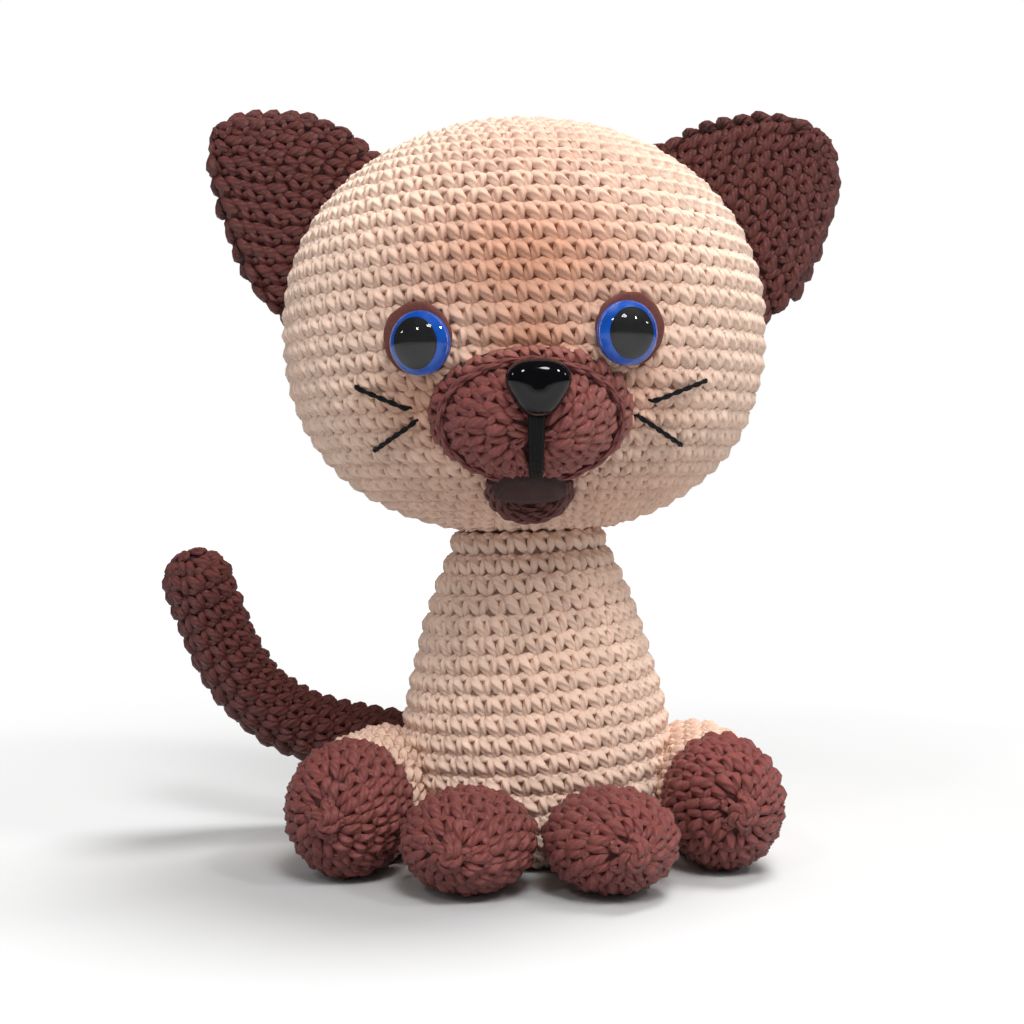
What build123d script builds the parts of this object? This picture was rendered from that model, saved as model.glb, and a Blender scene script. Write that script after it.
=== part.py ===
from build123d import *
import os
from math import cos, pi, radians, sin, sqrt

# A small crocheted cat that sits on its base, head on top, facing -Y.
# Millimetres, +Z up, origin at the centre of the body's flat base.
# Left and right are the onlooker's, so left is -X.

# ---- driving dimensions ----
FABRIC = 2.2                     # thickness of single crochet in this yarn
SEAM_GAP = 1.9                   # room at a sewn root for the limb to flex

HEAD_X = -3.1                    # the head leans a little to the left
HEAD_Z = 100.0                   # height of the head's widest row
HEAD_R = 46.0
HEAD_UP = 39.4                   # widest row to crown
HEAD_DOWN = 39.25                # widest row to neck
CROWN_POWER = 2.1                # 2 is an ellipse, more is squarer
JAW_POWER = 2.35

BODY_RINGS = [(19.5, 0.0), (24.6, 3.2), (26.5, 11.0), (26.4, 20.0), (25.0, 28.6),
              (22.9, 37.0), (20.7, 45.0), (18.2, 52.0), (15.6, 57.4)]   # radius, height
BODY_LEAN = -2.2                 # degrees about Y at the base
NECK_R = 11.0
NECK_Z = 58.75
NECK_YARN_R = 0.65

EAR_THICK = 7.0
EAR_EDGE = 3.0                   # roundness of the rim
EAR_GAP = 1.3
EAR_Y = 1.0
LEFT_EAR = [(-26.0, 129.0), (-30.3, 133.4), (-38.0, 139.5), (-46.0, 141.8), (-57.5, 141.4),
            (-63.0, 138.0), (-63.9, 130.0), (-60.2, 118.0), (-55.5, 106.0), (-48.8, 100.8),
            (-40.0, 103.0)]
RIGHT_EAR = [(15.0, 131.0), (20.8, 135.5), (29.0, 139.0), (41.0, 141.4), (51.5, 140.0),
             (57.2, 133.5), (57.4, 126.0), (53.4, 113.5), (49.0, 105.0), (43.4, 100.8),
             (33.0, 103.0)]

EYE_R = 6.0                      # a 12 mm safety eye
EYE_RISE = 3.2                   # height of the clear dome
EYE_PLATE = 1.2
PUPIL_HALF = (3.95, 4.35)        # an upright oval: half width, half height
PUPIL_THICK = 0.4
PUPIL_SHIFT = 0.7                # the pupil sits off centre, away from the nose
FELT_R = 7.1
FELT_THICK = 0.9
FELT_SUNK = 1.0                  # extra depth, so that the curve of the head is filled
SHANK_R = 1.5
SHANK_LONG = 8.0
WASHER_R = 5.0
WASHER_THICK = 1.5
WASHER_BACK = 1.0                # washer behind the inside of the fabric
WASHER_PLAY = 0.05               # washer's hole over its shank
POCKET_PLAY = 0.5                # room round a stud's washer in the stuffing
POCKET_PROUD = 3.0               # how far a pocket opens above the surface
EYES = {"left": (-17.95, 94.3), "right": (17.2, 95.9)}   # across from the head's axis, height

MUZZLE_X = -2.2
MUZZLE_Z = 81.3
MUZZLE_HALF = (17.6, 12.4, 7.0)  # half width, half height, rise above the head
MUZZLE_TILT = 24.0               # degrees that it looks down
MUZZLE_FABRIC = 2.0
NOSE_X = -1.1
NOSE_UP = 8.0                    # up the muzzle from its middle
NOSE_LOBE = (2.6, 2.9, 1.7)      # upper corners: radius, half spacing, height
NOSE_TIP = (2.2, -2.2)           # lower corner: radius, height
NOSE_THICK = 3.4
NOSE_ROUND = 1.9                 # roundness of the nose's front edge
NOSE_LIFT = 0.08                 # upward part of the way that the nose looks
NOSE_SHANK = 5.2
NOSE_WASHER_R = 4.0
NOSE_WASHER_THICK = 1.0
STITCH_WIDE = 2.4
STITCH_THICK = 0.9
STITCH_ASIDE = -0.3              # from the nose's middle
STITCH_Z = (71.4, 81.6)
SKIN_GAP = 0.05                  # between a stitch and the cover below it
LIP_ASIDE = -0.2                 # from the muzzle's middle
LIP_GAP = 0.3
CHIN_Z = 67.6
CHIN_HALF = (7.3, 6.0, 4.2)      # half width, half depth, half height

THREAD_R = 0.45
THREAD_PROUD = 0.4               # thread's underside over the head
WHISKERS = {                     # inner and outer end: across from the head's axis, height
    "whisker_left_upper": ((-19.3, 84.0), (-28.9, 87.4)),
    "whisker_left_lower": ((-18.4, 81.4), (-25.9, 77.2)),
    "whisker_right_upper": ((21.0, 85.3), (30.9, 88.6)),
    "whisker_right_lower": ((19.2, 82.1), (26.8, 78.1)),
}

FRONT_PAW = (11.9, 12.6, 9.25)   # half width, half length, half height
FRONT_PAWS = {"left": (-12.9, -36.0, 17.0), "right": (11.6, -36.0, -14.0)}   # x, y, yaw
HIND_R = 11.8
HIND_PAWS = {"left": (-34.9, -24.5, 16.0), "right": (33.2, -18.5, -9.0)}     # x, y, yaw
HIND_LONG = 20.0                 # paw centre to hip centre
HIND_CUFF = 5.0                  # paw centre to where the brown yarn ends
TAIL_R = 7.0
TAIL_TURN = 21.0                 # radius of the bend in the tail's middle line
TAIL_PATH = [(-11.0, 21.0, 15.0), (-57.5, 19.0, 19.5), (-68.8, 15.0, 50.3)]
BIG = 200.0
SLOPE_STEP = 0.5                 # height step that the head's slope is read over
CURVE_STEPS = 8                  # points on a quarter of the head's side
RIM_LENGTH = 3.0                 # an ear's rim edges are this many thicknesses long or more


def head_profile_r(height, shrink=0.0):
    """Radius of the head at a height, drawn in by shrink."""
    up = height >= HEAD_Z
    half = (HEAD_UP if up else HEAD_DOWN) - shrink
    power = CROWN_POWER if up else JAW_POWER
    share = min(1.0, abs(height - HEAD_Z) / half)
    return (HEAD_R - shrink) * (1.0 - share ** power) ** (1.0 / power)


def quarter_curve(radius, half, power):
    """The head's side from its widest row to a pole, half above it or below if negative."""
    points = []
    for i in range(CURVE_STEPS):
        angle = pi / 2 * i / CURVE_STEPS
        points.append((radius * cos(angle) ** (2 / power), 0, HEAD_Z + half * sin(angle) ** (2 / power)))
    points.append((0, 0, HEAD_Z + half))
    upright = (0, 0, 1 if half > 0 else -1)
    return Spline(*points, tangents=[upright, (-1, 0, 0)])


def head_solid(shrink=0.0):
    """The head's form, drawn in by shrink or let out where shrink is negative."""
    radius = HEAD_R - shrink
    crown = quarter_curve(radius, HEAD_UP - shrink, CROWN_POWER)
    jaw = quarter_curve(radius, shrink - HEAD_DOWN, JAW_POWER)
    axis = Line(jaw @ 1, crown @ 1)
    return Pos(HEAD_X, 0, 0) * revolve(make_face([crown, jaw, axis]), Axis.Z)


def body_solid(shrink=0.0):
    """The body's bell form, leaning, drawn in by shrink."""
    rings = [(r - shrink, z) for r, z in BODY_RINGS]
    low = shrink if shrink > 0 else 0.0
    high = BODY_RINGS[-1][1] - (shrink if shrink > 0 else 0.0)
    rings[0] = (rings[0][0], low)
    rings[-1] = (rings[-1][0], high)
    side = Spline(*[(r, 0, z) for r, z in rings])
    base = Line((0, 0, low), (rings[0][0], 0, low))
    top = Line((rings[-1][0], 0, high), (0, 0, high))
    axis = Line((0, 0, high), (0, 0, low))
    form = revolve(make_face([base, side, top, axis]), Axis.Z)
    return Rot(0, BODY_LEAN, 0) * form


def trimmed_to_floor(form):
    """What stands above the floor."""
    return form - Pos(0, 0, -BIG / 2) * Box(BIG, BIG, BIG)


def on_head(across, height):
    """A plane on the head's surface whose Z looks outward."""
    radius = head_profile_r(height)
    point = Vector(HEAD_X + across, -sqrt(radius ** 2 - across ** 2), height)
    above = head_profile_r(height + SLOPE_STEP)
    below = head_profile_r(height - SLOPE_STEP)
    slope = (above - below) / (2 * SLOPE_STEP)
    outward = Vector(across / radius, point.Y / radius, -slope)
    level = Vector(0, 0, 1).cross(outward)
    return Plane(origin=point, x_dir=level, z_dir=outward)


def ellipsoid(half):
    """An ellipsoid about the origin from its half sizes."""
    return scale(Sphere(1.0), by=half)


def grown(half, extra):
    """Half sizes let out by extra."""
    return tuple(h + extra for h in half)


def single(shape):
    """The largest solid of a cut shape."""
    return max(shape.solids(), key=lambda s: s.volume)


# ---- head and neck ----
HEAD = head_solid()


def stud_pocket(radius, depth):
    """The room that a stud's shank and washer take, open a little above the surface."""
    return Pos(0, 0, (POCKET_PROUD - depth) / 2) * Cylinder(radius, depth + POCKET_PROUD)


def lock_washer(radius, thick):
    """A washer that grips a stud's shank."""
    return Cylinder(radius, thick) - Cylinder(SHANK_R + WASHER_PLAY, thick)


def eye_parts(side):
    """One safety eye: plate with shank, pupil, clear dome, felt backing and lock washer."""
    across, height = EYES[side]
    place = on_head(across, height)
    away = PUPIL_SHIFT if across > 0 else -PUPIL_SHIFT
    plate_low = FELT_THICK
    plate_high = FELT_THICK + EYE_PLATE
    felt = Pos(0, 0, (FELT_THICK - FELT_SUNK) / 2) * Cylinder(FELT_R, FELT_THICK + FELT_SUNK)
    shank = Pos(0, 0, plate_low - SHANK_LONG / 2) * Cylinder(SHANK_R, SHANK_LONG)
    plate = Pos(0, 0, plate_low + EYE_PLATE / 2) * Cylinder(EYE_R, EYE_PLATE) + shank
    pupil = Pos(away, 0, plate_high) * extrude(Ellipse(*PUPIL_HALF), PUPIL_THICK)
    ball = (EYE_R ** 2 + EYE_RISE ** 2) / (2 * EYE_RISE)
    dome = Pos(0, 0, plate_high + EYE_RISE - ball) * Sphere(ball)
    dome = dome & (Pos(0, 0, plate_high + EYE_RISE / 2) * Cylinder(EYE_R, EYE_RISE))
    washer_z = -FABRIC - WASHER_BACK - WASHER_THICK / 2
    return {
        f"{side}_eye_felt": single(place * (felt - shank) - HEAD),
        f"{side}_eye_iris": place * plate,
        f"{side}_eye_pupil": place * pupil,
        f"{side}_eye_dome": place * (dome - pupil),
        f"{side}_eye_washer": place * Pos(0, 0, washer_z) * lock_washer(WASHER_R, WASHER_THICK),
    }


def muzzle_place():
    """The muzzle's middle on the head, its Z looking forward and down."""
    depth = sqrt(head_profile_r(MUZZLE_Z) ** 2 - (MUZZLE_X - HEAD_X) ** 2)
    tilt = radians(MUZZLE_TILT)
    return Plane(origin=(MUZZLE_X, -depth, MUZZLE_Z), x_dir=(1, 0, 0),
                 z_dir=(0, -cos(tilt), -sin(tilt)))


def nose_place():
    """The seat of the nose stud on the muzzle, its Z looking forward."""
    wide, tall, rise = MUZZLE_HALF
    aside = NOSE_X - MUZZLE_X
    out = rise * sqrt(1 - (aside / wide) ** 2 - (NOSE_UP / tall) ** 2)
    seat = muzzle_place() * Pos(aside, NOSE_UP, out)
    return Plane(origin=seat.position, x_dir=(1, 0, 0), z_dir=(0, -1, NOSE_LIFT))


def nose_parts():
    """The nose stud with its shank, and its lock washer."""
    corner_r, half_space, up = NOSE_LOBE
    tip_r, tip_up = NOSE_TIP
    corners = [Pos(half_space, up) * Circle(corner_r), Pos(-half_space, up) * Circle(corner_r),
               Pos(0, tip_up) * Circle(tip_r)]
    outline = make_hull([corner.edge() for corner in corners])
    button = extrude(outline, NOSE_THICK)
    front = button.faces().sort_by(Axis.Z)[-1].edges()
    button = fillet(front, NOSE_ROUND)
    shank = Pos(0, 0, -NOSE_SHANK / 2) * Cylinder(SHANK_R, NOSE_SHANK)
    washer_z = -NOSE_SHANK + NOSE_WASHER_THICK
    washer = Pos(0, 0, washer_z) * lock_washer(NOSE_WASHER_R, NOSE_WASHER_THICK)
    return button + shank, washer


def head_parts():
    """Every piece that turns with the head."""
    parts = {}
    studs = []
    hollows = []
    for side, (across, height) in EYES.items():
        eye = eye_parts(side)
        parts.update(eye)
        place = on_head(across, height)
        studs.append(place * stud_pocket(SHANK_R, SHANK_LONG))
        hollows.append(place * stud_pocket(WASHER_R + POCKET_PLAY, SHANK_LONG + POCKET_PLAY))
    parts["head_cover"] = single(head_solid() - head_solid(FABRIC) - studs)
    parts["head_stuffing"] = single(head_solid(FABRIC) - hollows)

    place = muzzle_place()
    muzzle = place * ellipsoid(MUZZLE_HALF) - HEAD
    filling = place * ellipsoid(grown(MUZZLE_HALF, -MUZZLE_FABRIC)) - HEAD
    seat = nose_place()
    button, washer = nose_parts()
    button = seat * button
    washer = seat * washer
    room = seat * stud_pocket(NOSE_WASHER_R + POCKET_PLAY, NOSE_SHANK + POCKET_PLAY)
    parts["muzzle_cover"] = single(muzzle - filling - button - washer)
    parts["muzzle_stuffing"] = single(filling - room)
    parts["nose_button"] = single(button - HEAD)
    parts["nose_washer"] = single(washer - HEAD)

    low, high = STITCH_Z
    inner = ellipsoid(grown(MUZZLE_HALF, SKIN_GAP))
    skin = place * (ellipsoid(grown(MUZZLE_HALF, STITCH_THICK + SKIN_GAP)) - inner)
    slot = Box(STITCH_WIDE, HEAD_R, high - low)
    slot = Pos(NOSE_X + STITCH_ASIDE, -HEAD_R, (low + high) / 2) * slot
    parts["mouth_stitch"] = single((skin & slot) - HEAD - button)

    chin_depth = head_profile_r(CHIN_Z)
    chin = Pos(MUZZLE_X + LIP_ASIDE, -chin_depth, CHIN_Z) * ellipsoid(CHIN_HALF)
    clear_muzzle = place * ellipsoid(grown(MUZZLE_HALF, STITCH_THICK + LIP_GAP))
    parts["chin_lip"] = single(chin - HEAD - clear_muzzle)

    for name, ends in WHISKERS.items():
        over = Pos(0, 0, THREAD_R + THREAD_PROUD)
        points = [(on_head(*end) * over).position for end in ends]
        run = Line(*points)
        parts[name] = sweep(Plane(origin=run @ 0, z_dir=run % 0) * Circle(THREAD_R), run)
    return parts


def ear(outline):
    """A flat two-ply ear whose foot follows the head."""
    face = make_face([Spline(*[(x, 0, z) for x, z in outline], periodic=True)])
    slab = extrude(face, EAR_THICK / 2, dir=(0, 1, 0), both=True)
    rims = [e for e in slab.edges() if e.length > EAR_THICK * RIM_LENGTH]
    slab = fillet(rims, EAR_EDGE)
    return single(Pos(0, EAR_Y, 0) * slab - head_solid(-EAR_GAP))


# ---- limbs ----
BODY_CLEAR = body_solid(-SEAM_GAP)


def front_paw(side):
    """A rounded paw that points forward and a little outward."""
    x, y, yaw = FRONT_PAWS[side]
    place = Pos(x, y, FRONT_PAW[2]) * Rot(0, 0, -yaw)
    outer_form = place * ellipsoid(FRONT_PAW) - BODY_CLEAR
    inner_form = place * ellipsoid(grown(FRONT_PAW, -FABRIC)) - BODY_CLEAR
    return {
        f"{side}_front_paw": single(outer_form - inner_form),
        f"{side}_front_stuffing": single(inner_form),
    }


def capsule(radius):
    """A round-ended bar from the paw's centre back to the hip, along +Y."""
    toe = (0, -radius, 0)
    heel = (0, HIND_LONG + radius, 0)
    front = JernArc(toe, (1, 0, 0), radius, 90)
    side = Line(front @ 1, (radius, HIND_LONG, 0))
    back = JernArc(side @ 1, (0, 1, 0), radius, 90)
    return revolve(make_face([front, side, back, Line(heel, toe)]), Axis.Y)


def hind_leg(side):
    """A stuffed leg along the body's side: brown paw in front, beige leg behind."""
    x, y, yaw = HIND_PAWS[side]
    place = Pos(x, y, HIND_R) * Rot(0, 0, -yaw)
    outer_form = place * capsule(HIND_R) - BODY_CLEAR
    inner_form = place * capsule(HIND_R - FABRIC) - BODY_CLEAR
    ahead = place * Pos(0, HIND_CUFF - BIG / 2, 0) * Box(BIG, BIG, BIG)
    shell = outer_form - inner_form
    return {
        f"{side}_hind_paw": single(shell & ahead),
        f"{side}_hind_leg": single(shell - ahead),
        f"{side}_hind_stuffing": single(inner_form),
    }


def tail_form(radius):
    """A round tube along the tail's middle line, with a ball at its tip."""
    line = FilletPolyline(*TAIL_PATH, radius=TAIL_TURN)
    tube = sweep(Plane(origin=line @ 0, z_dir=line % 0) * Circle(radius), line)
    return tube + Pos(*TAIL_PATH[-1]) * Sphere(radius)


def tail_parts():
    """The tail's cover and stuffing."""
    outer_form = tail_form(TAIL_R) - BODY_CLEAR
    inner_form = tail_form(TAIL_R - FABRIC) - BODY_CLEAR
    return {
        "tail_cover": single(outer_form - inner_form),
        "tail_stuffing": single(inner_form),
    }


def body_parts():
    """The body's cover and stuffing."""
    inner_form = body_solid(FABRIC)
    outer_form = trimmed_to_floor(body_solid())
    return {
        "body_cover": outer_form - inner_form,
        "body_stuffing": inner_form,
    }


def neck_parts():
    """The round of yarn that sews the head to the body."""
    lean = NECK_Z * sin(radians(BODY_LEAN))
    return {"neck_seam": Pos(lean, 0, NECK_Z) * Torus(NECK_R, NECK_YARN_R)}


def all_parts():
    """Every node of the toy by name."""
    parts = body_parts()
    parts.update(neck_parts())
    parts.update(head_parts())
    parts["left_ear"] = ear(LEFT_EAR)
    parts["right_ear"] = ear(RIGHT_EAR)
    for side in ("left", "right"):
        parts.update(front_paw(side))
        parts.update(hind_leg(side))
    parts.update(tail_parts())
    return parts


os.makedirs("parts", exist_ok=True)
for node, solid in all_parts().items():
    export_step(solid, f"parts/{node}.step")
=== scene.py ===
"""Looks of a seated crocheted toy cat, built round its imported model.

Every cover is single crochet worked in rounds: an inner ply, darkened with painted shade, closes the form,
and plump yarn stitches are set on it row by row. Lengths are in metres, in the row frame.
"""
import logging
import math
from dataclasses import dataclass, field, fields
from enum import Enum
from typing import Callable, Optional, Sequence

import bpy
import numpy as np
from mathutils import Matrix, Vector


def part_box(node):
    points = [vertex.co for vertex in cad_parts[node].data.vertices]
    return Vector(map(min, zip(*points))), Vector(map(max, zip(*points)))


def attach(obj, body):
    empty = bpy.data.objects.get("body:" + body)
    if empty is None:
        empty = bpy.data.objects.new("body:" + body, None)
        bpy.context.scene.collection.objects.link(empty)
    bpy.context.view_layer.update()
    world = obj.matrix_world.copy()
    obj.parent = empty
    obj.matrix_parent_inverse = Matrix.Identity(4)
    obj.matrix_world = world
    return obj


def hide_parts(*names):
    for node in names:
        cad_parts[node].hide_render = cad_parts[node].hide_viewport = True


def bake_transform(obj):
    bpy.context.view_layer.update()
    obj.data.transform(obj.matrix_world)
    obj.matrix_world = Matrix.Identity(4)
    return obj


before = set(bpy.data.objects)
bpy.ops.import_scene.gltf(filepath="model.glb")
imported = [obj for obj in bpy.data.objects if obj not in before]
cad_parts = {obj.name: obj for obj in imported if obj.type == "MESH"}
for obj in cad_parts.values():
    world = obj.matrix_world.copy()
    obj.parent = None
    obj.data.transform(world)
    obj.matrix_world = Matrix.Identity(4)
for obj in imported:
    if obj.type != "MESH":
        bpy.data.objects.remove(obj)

MM = 0.001
FULL_TURN = 2 * math.pi
NECK_START = 49.5 * MM               # height above which the body's rounds are made as separate neck pieces
LOG = logging.getLogger("crochet_cat")
Array = np.ndarray


class Side(Enum):
    """The onlooker's left or right."""

    LEFT = "left"
    RIGHT = "right"

    @property
    def sign(self) -> float:
        """-1 on the left and +1 on the right."""
        return -1.0 if self is Side.LEFT else 1.0


# ---------------------------------------------------------------- small vector helpers


def vec(x: float, y: float, z: float) -> Array:
    """A point or direction as an array."""
    return np.array([x, y, z], float)


def unit(vectors: Array) -> Array:
    """The same directions at length one."""
    return vectors / np.maximum(np.linalg.norm(vectors, axis=-1, keepdims=True), 1e-12)


def node_box(node: str) -> tuple[Array, Array]:
    """Lowest and highest corner of a CAD node, in metres."""
    low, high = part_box(node)
    return np.array(low, float), np.array(high, float)


def linear(hex_colour: str) -> tuple[float, float, float, float]:
    """Turns an sRGB hex colour into linear RGBA.

    Args:
        hex_colour: Six hex digits, with or without a leading hash.

    Returns:
        Linear red, green, blue and an alpha of one.
    """
    digits = hex_colour.lstrip("#")
    parts = [int(digits[i:i + 2], 16) / 255 for i in (0, 2, 4)]
    flat = [c / 12.92 if c <= 0.04045 else ((c + 0.055) / 1.055) ** 2.4 for c in parts]
    return (*flat, 1.0)


# ---------------------------------------------------------------- node helper


def add_node(tree: bpy.types.NodeTree, kind: str, inputs: Optional[dict] = None,
             **settings) -> bpy.types.Node:
    """Adds one node with its settings and links.

    Args:
        tree: The node tree to add to.
        kind: The node's type name.
        inputs: Socket name or number to a value, or to an output socket to link from.
        **settings: Properties of the node itself.

    Returns:
        The new node.
    """
    node = tree.nodes.new(kind)
    for name, value in settings.items():
        setattr(node, name, value)
    for key, value in (inputs or {}).items():
        socket = node.inputs[key]
        if isinstance(value, bpy.types.NodeSocket):
            tree.links.new(value, socket)
        else:
            socket.default_value = value
    return node


def mix_colours(tree: bpy.types.NodeTree, share: bpy.types.NodeSocket, first, second) -> bpy.types.NodeSocket:
    """Mixes two colours by a share.

    Args:
        tree: The node tree to add to.
        share: Output socket of the second colour's share.
        first: A colour, or an output socket that gives one.
        second: The same for the second colour.

    Returns:
        The mixed colour's socket.
    """
    node = tree.nodes.new("ShaderNodeMix")
    node.data_type = "RGBA"
    colour_inputs = [s for s in node.inputs if s.type == "RGBA"]
    tree.links.new(share, node.inputs[0])
    for socket, value in zip(colour_inputs, (first, second)):
        if isinstance(value, bpy.types.NodeSocket):
            tree.links.new(value, socket)
        else:
            socket.default_value = value
    return next(s for s in node.outputs if s.type == "RGBA")


# ---------------------------------------------------------------- finishes


@dataclass(frozen=True)
class YarnFinish:
    """Mercerised cotton yarn, spun and plied, with a soft satin light along each strand.

    Three plies twist round each other, which shows as fine slanting ridges on every strand, and
    the deep ends of each stitch carry painted shade. An airbrushed tint may lie over it; on the muzzle's
    right cheek that tint is painted light.
    """

    name: str
    colour: str
    # colour of the painted shade at the deep ends of stitches and over the inner ply
    deep_colour: str
    tint_colour: str
    roughness: float = 0.72
    sheen: float = 0.06
    specular: float = 0.4
    ply_turns: float = 3.0           # ridges round the strand
    ply_pitch: float = 2.6           # mm of strand for one turn
    ridge: float = 0.20              # mm height of a ridge

    def build(self) -> bpy.types.Material:
        """Builds the yarn's material.

        Returns:
            The material, which reads the strand's own UV and its stitch attributes.
        """
        material = bpy.data.materials.new(self.name)
        material.use_nodes = True
        tree = material.node_tree
        shader = tree.nodes["Principled BSDF"]
        tone = add_node(tree, "ShaderNodeAttribute", attribute_name="tone")
        deep = add_node(tree, "ShaderNodeAttribute", attribute_name="deep")
        tint = add_node(tree, "ShaderNodeAttribute", attribute_name="tint")
        place = add_node(tree, "ShaderNodeTexCoord")
        strand = add_node(tree, "ShaderNodeSeparateXYZ", {"Vector": place.outputs["UV"]})

        tinted = mix_colours(tree, tint.outputs["Fac"], linear(self.colour), linear(self.tint_colour))
        # painted shade: deep parts of stitches and the inner ply are mixed toward a darker colour
        shaded = mix_colours(tree, deep.outputs["Fac"], tinted, linear(self.deep_colour))
        cloud = add_node(tree, "ShaderNodeTexNoise", {
            "Vector": place.outputs["Object"], "Scale": 1 / (9 * MM), "Detail": 2.0})
        fibre = add_node(tree, "ShaderNodeTexNoise", {
            "Vector": place.outputs["Object"], "Scale": 1 / (0.35 * MM), "Detail": 3.0})
        value = add_node(tree, "ShaderNodeMath", {0: tone.outputs["Fac"], 1: 0.16, 2: 0.84},
                         operation="MULTIPLY_ADD")
        value = add_node(tree, "ShaderNodeMath", {0: fibre.outputs["Fac"], 1: 0.22, 2: value.outputs[0]},
                         operation="MULTIPLY_ADD")
        value = add_node(tree, "ShaderNodeMath", {0: cloud.outputs["Fac"], 1: 0.10, 2: value.outputs[0]},
                         operation="MULTIPLY_ADD")
        colour = add_node(tree, "ShaderNodeHueSaturation", {
            "Hue": 0.5, "Saturation": 1.0, "Value": value.outputs[0], "Color": shaded})
        tree.links.new(colour.outputs["Color"], shader.inputs["Base Color"])

        angle = add_node(tree, "ShaderNodeMath", {
            0: strand.outputs["X"], 1: FULL_TURN / (self.ply_pitch * MM)}, operation="MULTIPLY")
        around = add_node(tree, "ShaderNodeMath", {
            0: strand.outputs["Y"], 1: FULL_TURN * self.ply_turns, 2: angle.outputs[0]},
            operation="MULTIPLY_ADD")
        ridges = add_node(tree, "ShaderNodeMath", {0: around.outputs[0]}, operation="SINE")
        relief = add_node(tree, "ShaderNodeMath", {0: fibre.outputs["Fac"], 1: 0.8, 2: ridges.outputs[0]},
                          operation="MULTIPLY_ADD")
        bump = add_node(tree, "ShaderNodeBump", {
            "Strength": 0.75, "Distance": self.ridge * MM, "Height": relief.outputs[0]})
        tree.links.new(bump.outputs["Normal"], shader.inputs["Normal"])
        shader.inputs["Roughness"].default_value = self.roughness
        shader.inputs["Specular IOR Level"].default_value = self.specular
        shader.inputs["Sheen Weight"].default_value = self.sheen
        shader.inputs["Sheen Roughness"].default_value = 0.45
        return material


@dataclass(frozen=True)
class PlainFinish:
    """A moulded or pressed material with a fine grain in its surface."""

    name: str
    colour: str
    second_colour: str
    roughness: float
    grain: float                     # mm across a grain
    relief: float                    # mm height of the grain
    sheen: float = 0.0
    ior: float = 1.49

    def build(self) -> bpy.types.Material:
        """Builds the material with grain in its colour and its surface."""
        material = bpy.data.materials.new(self.name)
        material.use_nodes = True
        tree = material.node_tree
        shader = tree.nodes["Principled BSDF"]
        place = add_node(tree, "ShaderNodeTexCoord")
        grain = add_node(tree, "ShaderNodeTexNoise", {
            "Vector": place.outputs["Object"], "Scale": 1 / (self.grain * MM), "Detail": 4.0})
        colour = mix_colours(tree, grain.outputs["Fac"], linear(self.colour), linear(self.second_colour))
        tree.links.new(colour, shader.inputs["Base Color"])
        if self.relief:
            bump = add_node(tree, "ShaderNodeBump", {
                "Strength": 0.6, "Distance": self.relief * MM, "Height": grain.outputs["Fac"]})
            tree.links.new(bump.outputs["Normal"], shader.inputs["Normal"])
        shader.inputs["Roughness"].default_value = self.roughness
        shader.inputs["IOR"].default_value = self.ior
        shader.inputs["Sheen Weight"].default_value = self.sheen
        return material


@dataclass(frozen=True)
class ClearFinish:
    """Clear cast acrylic, thin enough that it hardly bends light: a sharp mirror over glass clear."""

    name: str
    roughness: float = 0.02
    ior: float = 1.49

    def build(self) -> bpy.types.Material:
        """Builds the material from a clear and a mirroring part, shared by angle."""
        material = bpy.data.materials.new(self.name)
        material.use_nodes = True
        tree = material.node_tree
        tree.nodes.clear()
        place = add_node(tree, "ShaderNodeTexCoord")
        haze = add_node(tree, "ShaderNodeTexNoise", {
            "Vector": place.outputs["Object"], "Scale": 1 / (2 * MM)})
        rough = add_node(tree, "ShaderNodeMath", {0: haze.outputs["Fac"], 1: 0.02, 2: self.roughness},
                         operation="MULTIPLY_ADD")
        clear = add_node(tree, "ShaderNodeBsdfTransparent")
        mirror = add_node(tree, "ShaderNodeBsdfGlossy", {
            "Color": (1, 1, 1, 1), "Roughness": rough.outputs[0]})
        face = add_node(tree, "ShaderNodeNewGeometry")
        outside = add_node(tree, "ShaderNodeMath", {0: 1.0, 1: face.outputs["Backfacing"]},
                           operation="SUBTRACT")
        fresnel = add_node(tree, "ShaderNodeFresnel", {"IOR": self.ior})
        share = add_node(tree, "ShaderNodeMath", {0: fresnel.outputs[0], 1: outside.outputs[0]},
                         operation="MULTIPLY")
        mix = add_node(tree, "ShaderNodeMixShader", {
            0: share.outputs[0], 1: clear.outputs[0], 2: mirror.outputs[0]})
        add_node(tree, "ShaderNodeOutputMaterial", {"Surface": mix.outputs[0]})
        return material


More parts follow.
